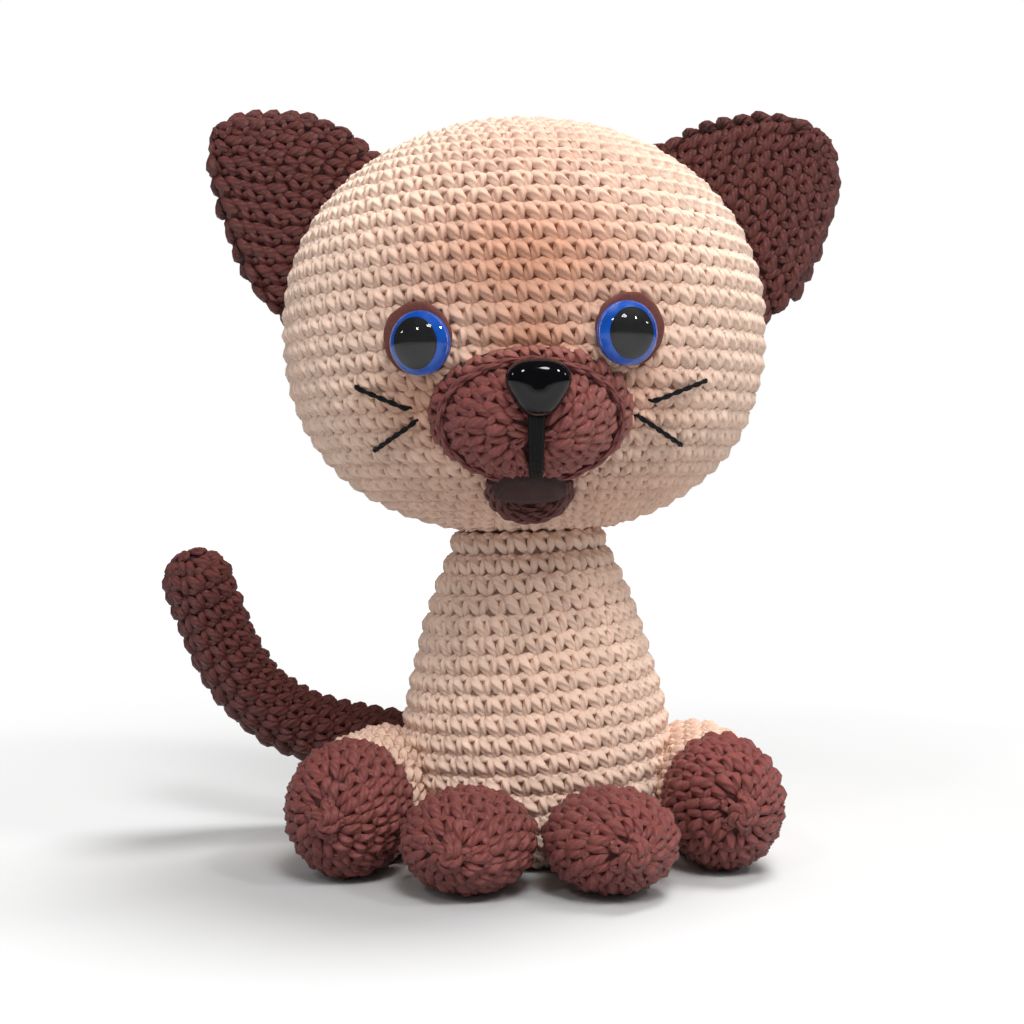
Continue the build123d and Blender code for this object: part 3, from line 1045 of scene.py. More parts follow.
@dataclass
class Torso:
    """The leaning bell of the body, sitting on its flat base."""

    rings: Sequence[tuple[float, float]] = ((19.5, 0.0), (24.6, 3.2), (26.5, 11.0), (26.4, 20.0),
                                            (25.0, 28.6), (22.9, 37.0), (20.7, 45.0), (18.2, 52.0),
                                            (15.6, 57.4), (14.6, 61.3))
    lean: float = -2.2               # degrees about Y
    gauge: Gauge = Gauge(wide=3.95 * MM, tall=3.66 * MM)
    hem: float = NECK_START          # above it the rounds are made as separate neck pieces

    def profile(self, along: Array) -> tuple[Array, Array]:
        """Height and radius from the middle of the base at 0 to the neck at 1."""
        radii = np.array([0.0] + [r for r, _ in self.rings]) * MM
        heights = np.array([0.0] + [z for _, z in self.rings]) * MM
        run = np.concatenate([[0.0], np.cumsum(np.hypot(np.diff(radii), np.diff(heights)))])
        fine = np.linspace(0, 1, 241)
        curve = np.stack([np.interp(fine * run[-1], run, heights), np.interp(fine * run[-1], run, radii)], 1)
        for _ in range(30):
            curve[1:-1] = (curve[:-2] + 2 * curve[1:-1] + curve[2:]) / 4
        return np.interp(along, fine, curve[:, 0]), np.interp(along, fine, curve[:, 1])

    def form(self) -> Lathe:
        """The body's surface."""
        lean = math.radians(self.lean)
        across = vec(math.cos(lean), 0, -math.sin(lean))
        return Lathe(vec(0, 0, 0), across, vec(0, 1, 0), self.profile)

    def build(self, shop: Workshop, tint: Tints) -> None:
        """Builds and dresses the body."""
        form = self.form()
        yarn = shop.finishes.beige
        shares = np.linspace(0, 1, 241)
        split = float(np.interp(self.hem, self.profile(shares)[0], shares))
        core = shop.core("body_core", form, yarn, CORE_SINK, 0.95, tint, end=split)
        press_to_floor(core)
        shop.settle(core, "torso", ["body_stuffing"])
        seats = lay_rounds(form, self.gauge)
        above = seats.place[:, 2] > self.hem
        piece = shop.works.crochet("body_crochet", seats.picked(~above), yarn, 21, tint)
        press_to_floor(piece)
        shop.settle(piece, "torso", ["body_cover"])
        neck_core = shop.core("neck_core", form, yarn, CORE_SINK, 0.9, tint, rows=24, start=split)
        shop.bend_with_head(neck_core, "stuffing")
        rounds = shop.works.crochet("neck_crochet", seats.picked(above), yarn, 22, tint)
        shop.bend_with_head(rounds, "beige_yarn")


def press_to_floor(piece: bpy.types.Object) -> None:
    """Presses stitches that would sink into the floor flat against it."""
    count = len(piece.data.vertices)
    places = np.empty(count * 3, np.float32)
    piece.data.vertices.foreach_get("co", places)
    places = places.reshape(-1, 3)
    low = places[:, 2] < 0
    places[low, 2] = places[low, 2] * 0.02
    places[:, 2] = np.maximum(places[:, 2], 0.0)
    piece.data.vertices.foreach_set("co", places.ravel())
    piece.data.update()


@dataclass
class Eye:
    """A safety eye: blue plate, oval pupil, clear dome and a felt disc behind."""

    side: Side
    radius: float = 5.4 * MM         # what the yarn round it leaves to be seen
    plate_low: float = 0.7 * MM      # over the head's surface
    plate_top: float = 1.9 * MM
    dome_rise: float = 3.1 * MM
    dome_gap: float = 0.05 * MM
    pupil_half: tuple[float, float] = (3.95 * MM, 4.35 * MM)
    pupil_thick: float = 0.3 * MM
    pupil_aside: float = 0.55 * MM
    felt_radius: float = 6.15 * MM
    felt_shift: float = 1.1 * MM
    inward: float = 0.85 * MM        # the eye sits this much nearer the nose than its shank's hole
    sides: int = 96

    def build(self, shop: Workshop, head: "HeadShape") -> None:
        """Builds and dresses the eye."""
        self._find_axes(head)
        name = f"{self.side.value}_eye"
        low, top = self.plate_low, self.plate_top
        plate = self._turned([(0.0, low), (0.97, low), (1.0, low + 0.2 * MM), (1.0, top - 0.15 * MM),
                              (0.985, top), (0.0, top)])
        self._settle(shop, plate, name + "_plate", shop.finishes.iris, "iris_blue", f"{name}_iris")
        low = self.plate_top - 0.05 * MM
        high = self.plate_top + self.pupil_thick
        pupil = self._turned([(0.0, low), (1.0, low), (1.0, high - 0.1 * MM), (0.97, high), (0.0, high)],
                             self._pupil_outline)
        self._settle(shop, pupil, name + "_oval_pupil", shop.finishes.pupil, "pupil_black", f"{name}_pupil")
        ball = (self.radius ** 2 + self.dome_rise ** 2) / (2 * self.dome_rise)
        reach = math.asin(self.radius / ball)
        crown = [(math.sin(reach * s) * ball / self.radius,
                  ball * math.cos(reach * s) - ball + self.dome_rise + self.plate_top + self.dome_gap)
                 for s in np.linspace(1.0, 0.0, 28)]
        dome = self._turned([(0.0, crown[0][1])] + crown)
        self._settle(shop, dome, name + "_clear_dome", shop.finishes.clear, "clear_dome", f"{name}_dome")
        self.seat = self.seat + self.felt_shift * (0.7 * self.up + self.side.sign * self.right)
        felt = self._turned([(0.0, -1.2 * MM), (0.95, -1.2 * MM), (1.0, -0.6 * MM), (1.0, 0.35 * MM),
                             (0.965, 0.62 * MM), (0.90, 0.72 * MM), (0.0, 0.72 * MM)], self._felt_outline)
        self._settle(shop, felt, name + "_felt_disc", shop.finishes.felt, "felt", f"{name}_felt")
        dress_node(f"{name}_washer", shop.finishes.washer)

    def _find_axes(self, head: "HeadShape") -> None:
        """Finds the eye's seat on the head, and its right, up and outward directions."""
        low, high = node_box(f"{self.side.value}_eye_felt")
        across = (low[0] + high[0]) / 2 - self.side.sign * self.inward
        self.seat = head.on_front(across, (low[2] + high[2]) / 2)
        self.out = head.outward(self.seat)
        self.right = unit(np.cross(vec(0, 0, 1), self.out))
        self.up = np.cross(self.out, self.right)

    def _pupil_outline(self, turn: Array) -> tuple[Array, Array]:
        """Across and up of the pupil's edge, an oval a little pointed below."""
        wide, tall = self.pupil_half
        narrowed = 1 - 0.05 * np.maximum(-np.sin(turn), 0)
        return self.side.sign * self.pupil_aside + wide * np.cos(turn) * narrowed, tall * np.sin(turn)

    def _felt_outline(self, turn: Array) -> tuple[Array, Array]:
        """Across and up of the felt's hand-cut edge."""
        ragged = self.felt_radius * (1 + 0.012 * np.sin(5 * turn + 1) + 0.008 * np.sin(11 * turn))
        return ragged * np.cos(turn), ragged * np.sin(turn)

    def _turned(self, profile: Sequence[tuple[float, float]],
                outline: Optional[Callable[[Array], tuple[Array, Array]]] = None) -> MeshArrays:
        """A closed solid from shares of an outline and heights over the head.

        Args:
            profile: Share of the outline and height of each ring.
            outline: Gives across and up of the edge; the eye's round edge if left out.

        Returns:
            The solid's arrays.
        """
        turn = FULL_TURN * np.arange(self.sides) / self.sides
        across, rise = outline(turn) if outline else (self.radius * np.cos(turn), self.radius * np.sin(turn))
        edge = (across - across.mean())[:, None] * self.right + (rise - rise.mean())[:, None] * self.up
        middle = self.seat + across.mean() * self.right + rise.mean() * self.up
        return closed_rings([middle + height * self.out + max(share, 0.01) * edge
                             for share, height in profile])

    @staticmethod
    def _settle(shop: Workshop, data: MeshArrays, name: str, finish: bpy.types.Material, slot: str,
                node: str) -> None:
        """Makes a piece of the eye and puts it in a node's place."""
        piece = data.to_object(name, {})
        piece.data.materials.append(finish)
        shop.settle(piece, "head", [node])


@dataclass
class Head:
    """The head's cover, muzzle, lip, eyes, nose, mouth stitch and whiskers."""

    gauge: Gauge = Gauge(wide=4.1 * MM, tall=3.75 * MM)
    small: Gauge = Gauge(wide=3.8 * MM, tall=3.4 * MM, step=1, least=5, depth=4.5 * MM)
    muzzle_half: tuple[float, float] = (17.8 * MM, 12.9 * MM)
    muzzle_tilt: float = math.radians(24)
    muzzle_rise: float = 6.2 * MM
    rim_share: float = 0.83          # where the dome meets its flat outer round
    covered_share: float = 0.80      # part of the muzzle under which the head has no stitches
    lip_height: float = 70.4 * MM
    lip_tilt: float = math.radians(46)
    lip_half: tuple[float, float] = (7.4 * MM, 7.2 * MM)
    lip_strands: int = 5
    mouth_strands: int = 5
    mouth_step: float = 0.52 * MM    # between the mouth stitch's strands
    mouth_ends: tuple[float, float] = (5.5 * MM, -9.6 * MM)     # from the muzzle's middle
    nose_half: tuple[float, float, float] = (5.4 * MM, 4.85 * MM, 4.1 * MM)   # across, up and out

    def __post_init__(self) -> None:
        """Reads the head's size from the frame."""
        low, high = node_box("head_cover")
        centre = (low + high) / 2
        widest = low[2] + (high[2] - low[2]) * 39.25 / (39.25 + 39.4)
        self.shape = HeadShape(vec(centre[0], centre[1], widest), (high[0] - low[0]) / 2,
                               high[2] - widest, widest - low[2])

    def form(self) -> Lathe:
        """The head's surface from neck to crown."""
        return Lathe(self.shape.centre, vec(1, 0, 0), vec(0, 1, 0), self.shape.profile)

    def muzzle_form(self) -> MoundForm:
        """The muzzle's surface from its middle out."""
        low, high = node_box("muzzle_cover")
        middle = (low + high) / 2
        centre = self.shape.on_front(middle[0], 81.3 * MM)
        return MoundForm(centre, self.muzzle_tilt, self.muzzle_half, self.shape, self.muzzle_lift)

    def muzzle_lift(self, along: Array, across: Array, rise: Array) -> Array:
        """How far the muzzle stands out from the head: two cheeks on a dome, and a flat rim."""
        share = np.clip(along / self.rim_share, 0, 1)
        dome = (1 - share ** 3.2) ** 0.55
        cheeks = 1 + 0.10 * (1 - np.exp(-(across / (5 * MM)) ** 2))
        under_nose = 1 / (1 + np.exp(rise / (1.5 * MM)))
        groove = 1.3 * MM * np.exp(-(across / (2.2 * MM)) ** 2) * under_nose * dome
        return 1.5 * MM + self.muzzle_rise * dome * cheeks - groove

    @staticmethod
    def lining_lift(along: Array, across: Array, rise: Array) -> Array:
        """How far the mouth's lining stands out: shallow in the hollow, closing against the muzzle above."""
        closing = np.clip((rise / MM + 3.5) / 4.5, 0, 1)
        return (0.3 + 1.6 * (1 - along ** 4) + 2.8 * closing * (1 - along ** 10)) * MM

    @staticmethod
    def muzzle_tint(points: Array) -> Array:
        """Share of lighter tint on the muzzle: its top edge is airbrushed paler, and its right cheek is
        painted paler as light from the upper right.
        """
        top = np.clip((points[:, 2] / MM - 88) / 7, 0, 1) * 0.75
        # painted light: the right cheek is made paler, as if lit from the upper right
        right = np.clip((points[:, 0] / MM - 2) / 12, 0, 1) * 0.35
        return np.maximum(top, right)

    def build(self, shop: Workshop, tint: Tints) -> None:
        """Builds and dresses everything on the head body."""
        form = self.form()
        core = shop.core("head_core", form, shop.finishes.beige, CORE_SINK, 0.97, tint, rows=72, spokes=96)
        shop.settle(core, "head", ["head_stuffing"])
        seats = lay_rounds(form, self.gauge)
        muzzle = self.muzzle_form()
        right, up, out = muzzle.axes()
        local = seats.place - muzzle.centre
        half = self.covered_share * np.array(self.muzzle_half)
        under = (local @ right / half[0]) ** 2 + (local @ up / half[1]) ** 2
        hidden = (under < 1) & (local @ out > -12 * MM)
        piece = shop.works.crochet("head_crochet", seats.picked(~hidden), shop.finishes.beige, 31, tint)
        shop.settle(piece, "head", ["head_cover"])
        self._build_muzzle(shop, muzzle)
        self._build_lip(shop)
        for side in Side:
            Eye(side).build(shop, self.shape)
        self._build_nose(shop)
        self._build_mouth(shop, muzzle)
        self._build_whiskers(shop)

    def _build_muzzle(self, shop: Workshop, form: MoundForm) -> None:
        """Crochets the muzzle with the line of loops at its rim."""
        core = shop.core("muzzle_core", form, shop.finishes.brown, CORE_SINK, 0.9, rows=40)
        shop.settle(core, "head", ["muzzle_stuffing"])
        piece = shop.works.crochet("muzzle_crochet", lay_rounds(form, self.small, seam=0.75),
                                   shop.finishes.brown, 41, self.muzzle_tint)
        shop.settle(piece, "head", ["muzzle_cover"])
        turn = np.linspace(0, FULL_TURN, 81)
        ring = form.at(np.full_like(turn, self.rim_share + 0.035), turn) + 1.1 * MM * form.axes()[2]
        loops = strand_object("muzzle_rim_loops", ring, 0.75 * MM, plies=2, turn_length=9 * MM)
        loops.data.materials.append(shop.finishes.brown)
        shop.settle(loops, "head")

    def _build_lip(self, shop: Workshop) -> None:
        """Builds the lower lip: chain loops laid in a crescent round the dark hollow of the mouth."""
        low, high = node_box("chin_lip")
        middle = (low + high) / 2
        centre = self.shape.on_front(middle[0], self.lip_height)
        form = MoundForm(centre, self.lip_tilt, self.lip_half, self.shape,
                         lambda along, across, rise: 0.9 * MM * (1 - along ** 4) + 0.3 * MM)
        lining = MoundForm(centre, self.lip_tilt, self.lip_half, self.shape, self.lining_lift)
        core = shop.core("lip_core", lining, shop.finishes.dark, 0.0, 0.7, rows=24, spokes=40)
        shop.settle(core, "head")
        _, _, out = form.axes()
        strands = []
        for number in range(self.lip_strands):
            share = number / (self.lip_strands - 1)
            sweep = math.radians(90 + 8 * math.sin(math.pi * share))
            turn = np.linspace(math.pi / 2 - sweep * 1.15, math.pi / 2 + sweep * 1.15, 40)
            reach = 0.50 + 0.50 * share
            fade = np.sin(math.pi * np.linspace(0.04, 0.96, 40)) ** 0.5
            line = form.at(np.full(40, 1.0) * (0.88 + (reach - 0.88) * fade), turn)
            height = (0.5 + 2.5 * math.sin(math.pi * (0.12 + 0.72 * share))) * MM
            line = line + (height * fade)[:, None] * out
            strands.append(strand_arrays(line, 0.92 * MM, 2, 6.5 * MM))
        piece = join_arrays(strands).to_object("lip_loops", {})
        piece.data.materials.append(shop.finishes.dark)
        shop.settle(piece, "head", ["chin_lip"])

    def _build_nose(self, shop: Workshop) -> None:
        """Builds the domed three-cornered nose stud."""
        low, high = node_box("nose_button")
        middle = (low + high) / 2
        seat = vec(middle[0], low[1] + 3.4 * MM, middle[2] + 0.3 * MM)
        wide, tall, thick = self.nose_half
        spokes, rows = 64, 22
        turn = FULL_TURN * np.arange(spokes) / spokes
        corner = 1 + 0.085 * np.cos(3 * (turn + math.pi / 2)) - 0.02 * np.cos(2 * turn)
        rings = []
        for i in range(rows):
            angle = math.pi * (i + 0.5) / rows
            spread = math.sin(angle) ** 0.62
            depth = math.copysign(abs(math.cos(angle)) ** 0.9, math.cos(angle)) * thick
            rings.append(np.stack([seat[0] + wide * spread * corner * np.cos(turn),
                                   np.full(spokes, seat[1] - max(depth, -0.25 * thick)),
                                   seat[2] + tall * spread * corner * np.sin(turn)], 1))
        data = closed_rings(rings)
        piece = data.to_object("nose_stud", {})
        piece.data.materials.append(shop.finishes.black)
        shop.settle(piece, "head", ["nose_button"])
        dress_node("nose_washer", shop.finishes.washer)

    def _build_mouth(self, shop: Workshop, muzzle: MoundForm) -> None:
        """Lays the mouth stitch, five strands side by side down the muzzle."""
        low, high = node_box("mouth_stitch")
        middle = (low[0] + high[0]) / 2
        out = muzzle.axes()[2]
        strands = []
        for number in range(self.mouth_strands):
            aside = (number - (self.mouth_strands - 1) / 2) * self.mouth_step
            rises = np.linspace(*self.mouth_ends, 26)
            spread = 1.0 - 0.25 * np.linspace(0, 1, 26)
            across = middle - muzzle.centre[0] + aside * spread
            along = np.hypot(across / muzzle.half[0], rises / muzzle.half[1])
            around = np.arctan2(rises / muzzle.half[1], across / muzzle.half[0]) * muzzle.reverse
            line = muzzle.at(along, around) + 0.35 * MM * out
            line[-1] -= 1.6 * MM * out
            line[-2] -= 0.4 * MM * out
            strands.append(tube_arrays(line, np.full(len(line), 0.40 * MM), 8))
        piece = join_arrays(strands).to_object("mouth_thread", {})
        piece.data.materials.append(shop.finishes.thread)
        shop.settle(piece, "head", ["mouth_stitch"])

    def _build_whiskers(self, shop: Workshop) -> None:
        """Lays the four whisker stitches on the head."""
        for side in Side:
            for level in ("upper", "lower"):
                node = f"whisker_{side.value}_{level}"
                low, high = node_box(node)
                rising = level == "upper"
                inner, outer = (high[0], low[0]) if side is Side.LEFT else (low[0], high[0])
                foot, head = (low[2], high[2]) if rising else (high[2], low[2])
                share = np.linspace(0, 1, 15)
                points = []
                for s in share:
                    point = self.shape.on_front(inner + (outer - inner) * s, foot + (head - foot) * s)
                    proud = (0.55 - 1.9 * max(0.0, abs(2 * s - 1) - 0.86) / 0.14) * MM
                    points.append(point + proud * self.shape.outward(point))
                piece = strand_object(node + "_thread", np.array(points), 0.45 * MM, plies=2,
                                      turn_length=4.5 * MM)
                piece.data.materials.append(shop.finishes.thread)
                shop.settle(piece, "head", [node])


def closed_rings(rings: Sequence[Array]) -> MeshArrays:
    """A closed skin over rings, its ends drawn to their middles."""
    spokes, rows = len(rings[0]), len(rings)
    verts = np.concatenate(list(rings) + [rings[0].mean(0)[None, :], rings[-1].mean(0)[None, :]])
    faces = []
    for i in range(rows - 1):
        for j in range(spokes):
            k = (j + 1) % spokes
            faces.append((i * spokes + j, (i + 1) * spokes + j, (i + 1) * spokes + k, i * spokes + k))
    first, last, base = rows * spokes, rows * spokes + 1, (rows - 1) * spokes
    for j in range(spokes):
        k = (j + 1) % spokes
        faces.append((first, j, k))
        faces.append((last, base + k, base + j))
    corners = sum(len(f) for f in faces)
    return MeshArrays(verts, faces, np.zeros((corners, 2))).faced_out()


def strand_arrays(line: Array, radius: float, plies: int, turn_length: float) -> MeshArrays:
    """Plied thread along a line: each ply is its own small tube wound round the others.

    Args:
        line: The thread's middle line.
        radius: The thread's radius.
        plies: How many plies it has.
        turn_length: Length of one turn.

    Returns:
        The thread's arrays.
    """
    steps = np.linalg.norm(np.diff(line, axis=0), axis=1)
    run = np.concatenate([[0.0], np.cumsum(steps)])
    fine = np.linspace(0, run[-1], max(12, int(run[-1] / (0.35 * MM))))
    path = np.stack([np.interp(fine, run, line[:, k]) for k in range(3)], 1)
    for _ in range(3):
        path[1:-1] = (path[:-2] + 2 * path[1:-1] + path[2:]) / 4
    tangent = unit(np.gradient(path, axis=0))
    side = unit(np.cross(tangent, vec(0.2, 1.0, 0.1)))
    other = np.cross(tangent, side)
    parts = []
    for ply in range(plies):
        angle = FULL_TURN * (fine / turn_length + ply / plies)
        wound = path + 0.46 * radius * (np.cos(angle)[:, None] * side + np.sin(angle)[:, None] * other)
        parts.append(tube_arrays(wound, np.full(len(wound), 0.62 * radius), 6))
    return join_arrays(parts)


def strand_object(name: str, line: Array, radius: float, plies: int, turn_length: float) -> bpy.types.Object:
    """A piece of plied thread or yarn along a line."""
    return strand_arrays(line, radius, plies, turn_length).to_object(name, {})


def dress_node(node: str, finish: bpy.types.Material) -> None:
    """Gives a carried-over CAD node its finish."""
    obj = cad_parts[node]
    obj.data.materials.clear()
    obj.data.materials.append(finish)
    for polygon in obj.data.polygons:
        polygon.material_index = 0


@dataclass
class Ear:
    """One flat ear, crocheted from its tip and sewn to the head along its foot."""

    side: Side
    upper: Sequence[tuple[float, float]]
    lower: Sequence[tuple[float, float]]
    half_thick: float = 3.3 * MM
    back: float = 1.0 * MM           # how far behind the head's middle the ear stands
    bow: float = 4.0 * MM            # how far the middle of a row stands out from its ends
    gauge: Gauge = Gauge(wide=3.9 * MM, tall=3.6 * MM, step=2)

    def build(self, shop: Workshop, head: Head) -> None:
        """Builds and dresses the ear."""
        edges = [np.array([(x * MM, self.back, z * MM) for x, z in points])
                 for points in (self.upper, self.lower)]
        if self.side is Side.LEFT:
            edges.reverse()
        form = EarForm(edges[0], edges[1], self.half_thick, head.shape.centre, self.bow)
        name = f"{self.side.value}_ear"
        core = shop.core(name + "_core", form, shop.finishes.dark, CORE_SINK, 0.4, rows=30, spokes=60)
        piece = shop.works.crochet(name + "_crochet", lay_rounds(form, self.gauge), shop.finishes.dark,
                                   51 if self.side is Side.LEFT else 53)
        shop.settle(core, name)
        shop.settle(piece, name, [name])


@dataclass
class FrontPaw:
    """A rounded paw, crocheted from its toe."""

    side: Side
    yaw: float                       # degrees that the toe turns outward
    gauge: Gauge = Gauge(wide=3.9 * MM, tall=3.5 * MM, step=1, least=5, depth=4.4 * MM)
    half: tuple[float, float, float] = (11.9 * MM, 12.6 * MM, 9.25 * MM)
    where: tuple[float, float] = (0.0, -36.0 * MM)

    def form(self) -> Lathe:
        """The paw's surface from its toe back."""
        back = outward_turn(self.side, self.yaw)
        across, rise = leg_axes(back)
        wide, long, tall = self.half

        def profile(along: Array) -> tuple[Array, Array]:
            """Distance back from the middle and radius, as shares of the half width."""
            angle = along * math.pi
            return -long * np.cos(angle), np.sin(angle)

        return Lathe(vec(self.where[0], self.where[1], tall), across, rise, profile, wide, tall)

    def build(self, shop: Workshop) -> None:
        """Builds and dresses the paw."""
        form = self.form()
        name = f"{self.side.value}_front"
        core = shop.core(name + "_core", form, shop.finishes.brown, CORE_SINK, 0.9, rows=32, spokes=48)
        press_to_floor(core)
        shop.settle(core, name + "_leg", [name + "_stuffing"])
        shop.toe_coil(name + "_toe_coil", form, shop.finishes.brown, name + "_leg")
        seats = lay_rounds(form, self.gauge)
        piece = shop.works.crochet(name + "_crochet", seats, shop.finishes.brown,
                                   61 if self.side is Side.LEFT else 63)
        press_to_floor(piece)
        shop.settle(piece, name + "_leg", [name + "_paw"])


def outward_turn(side: Side, yaw: float) -> Array:
    """Direction from toe to heel of a leg whose toe turns outward by yaw degrees."""
    angle = math.radians(yaw)
    return vec(-side.sign * math.sin(angle), math.cos(angle), 0)


def leg_axes(back: Array) -> tuple[Array, Array]:
    """Across and rise of a leg, whose cross product points back."""
    rise = vec(0, 0, 1)
    return np.cross(rise, back), rise


@dataclass
class HindLeg:
    """A stuffed leg along the body's side: brown paw in front, beige leg behind."""

    side: Side
    where: tuple[float, float]
    yaw: float
    radius: float = 11.8 * MM
    wide: float = 0.955
    tall: float = 1.045
    long: float = 20.0 * MM
    cuff: float = 4.0 * MM           # behind the paw's middle, where the brown yarn ends
    leg_tint: float = 0.3
    gauge: Gauge = Gauge(wide=3.95 * MM, tall=3.55 * MM, step=1, least=5, depth=4.4 * MM)

    def form(self) -> Lathe:
        """The leg's surface from toe to hip."""
        back = outward_turn(self.side, self.yaw)
        across, rise = leg_axes(back)
        radius, arc, long = self.radius, self.radius * math.pi / 2, self.long

        def profile(along: Array) -> tuple[Array, Array]:
            """Distance back from the paw's middle, and radius."""
            run = along * (2 * arc + long)
            front = np.clip(run / radius, 0, math.pi / 2)
            rear = np.clip((run - arc - long) / radius, 0, math.pi / 2)
            straight = np.clip(run - arc, 0, long)
            height = -radius * np.cos(front) + straight + radius * np.sin(rear)
            return height, radius * np.sin(front) * np.cos(rear)

        return Lathe(vec(self.where[0], self.where[1], radius * self.tall), across, rise, profile,
                     self.wide, self.tall)

    def build(self, shop: Workshop) -> None:
        """Builds and dresses paw and leg."""
        form = self.form()
        back = outward_turn(self.side, self.yaw)
        name = f"{self.side.value}_hind"
        seed = 71 if self.side is Side.LEFT else 73
        arc = self.radius * math.pi / 2
        split = (arc + self.cuff) / (2 * arc + self.long)
        front = shop.core(name + "_paw_core", form, shop.finishes.brown, CORE_SINK, 0.9, rows=32, spokes=48,
                          end=split)
        rear = shop.core(name + "_leg_core", form, shop.finishes.beige, CORE_SINK, 0.9, rows=32, spokes=48,
                         start=split)
        for core in (front, rear):
            press_to_floor(core)
        shop.settle(front, name + "_leg", [name + "_stuffing"])
        shop.settle(rear, name + "_leg")
        shop.toe_coil(name + "_toe_coil", form, shop.finishes.brown, name + "_leg")
        seats = lay_rounds(form, self.gauge)
        behind = (seats.place - form.origin) @ back > self.cuff
        paw = shop.works.crochet(name + "_paw_crochet", seats.picked(~behind), shop.finishes.brown, seed)
        leg = shop.works.crochet(name + "_leg_crochet", seats.picked(behind), shop.finishes.beige, seed + 1,
                                 lambda points: np.full(len(points), self.leg_tint))
        for piece in (paw, leg):
            press_to_floor(piece)
        shop.settle(paw, name + "_leg", [name + "_paw"])
        shop.settle(leg, name + "_leg", [name + "_leg"])


@dataclass
class Tail:
    """The stuffed tail, crocheted from its tip and sewn to the back of the body."""

    points: Sequence[tuple[float, float, float]] = (
        (-68.6, 15.0, 50.3), (-66.6, 15.8, 44.0), (-63.6, 16.6, 36.0), (-59.2, 17.4, 28.6),
        (-52.0, 18.3, 22.6), (-43.0, 19.0, 19.2), (-32.0, 19.8, 17.2), (-22.0, 20.0, 15.9),
        (-14.5, 17.5, 15.3), (-9.0, 12.5, 15.0), (-5.5, 6.5, 15.0))
    radius: float = 7.1 * MM
    gauge: Gauge = Gauge(wide=3.85 * MM, tall=3.6 * MM, step=1, least=5)

    def build(self, shop: Workshop) -> None:
        """Builds and dresses the tail."""
        corners = np.array(self.points) * MM
        steps = np.linalg.norm(np.diff(corners, axis=0), axis=1)
        run = np.concatenate([[0.0], np.cumsum(steps)])
        fine = np.linspace(0, run[-1], 90)
        line = np.stack([np.interp(fine, run, corners[:, k]) for k in range(3)], 1)
        for _ in range(25):
            line[1:-1] = (line[:-2] + 2 * line[1:-1] + line[2:]) / 4
        form = Tube(line, self.radius)
        core = shop.core("tail_core", form, shop.finishes.dark, CORE_SINK, 0.95, rows=80, spokes=32)
        shop.settle(core, "tail", ["tail_stuffing"])
        piece = shop.works.crochet("tail_crochet", lay_rounds(form, self.gauge), shop.finishes.dark, 81)
        shop.settle(piece, "tail", ["tail_cover"])


@dataclass
class Neck:
    """Whip stitches that sew the head to the body."""

    stitches: int = 24
    sway: float = 0.9 * MM           # how far a stitch rises and falls
    radius: float = 0.7 * MM

    def build(self, shop: Workshop) -> None:
        """Builds the round of yarn at the neck."""
        low, high = node_box("neck_seam")
        centre = (low + high) / 2
        radius = (high[0] - low[0]) / 2
        turn = np.linspace(0, FULL_TURN, 181)
        line = np.stack([centre[0] + radius * np.cos(turn), centre[1] + radius * np.sin(turn),
                         centre[2] + self.sway * np.sin(self.stitches * turn)], 1)
        piece = strand_object("neck_whip_stitches", line, self.radius, plies=2, turn_length=4 * MM)
        piece.data.materials.append(shop.finishes.beige)
        shop.bend_with_head(piece, "beige_yarn", ["neck_seam"])


# ---------------------------------------------------------------- set


@dataclass(frozen=True)
class Lamp:
    """A round soft light that looks at the toy's middle."""

    name: str
    place: tuple[float, float, float]
    size: float                      # metres across
    watts: float
    glossy: bool = True              # whether glossy pieces mirror it


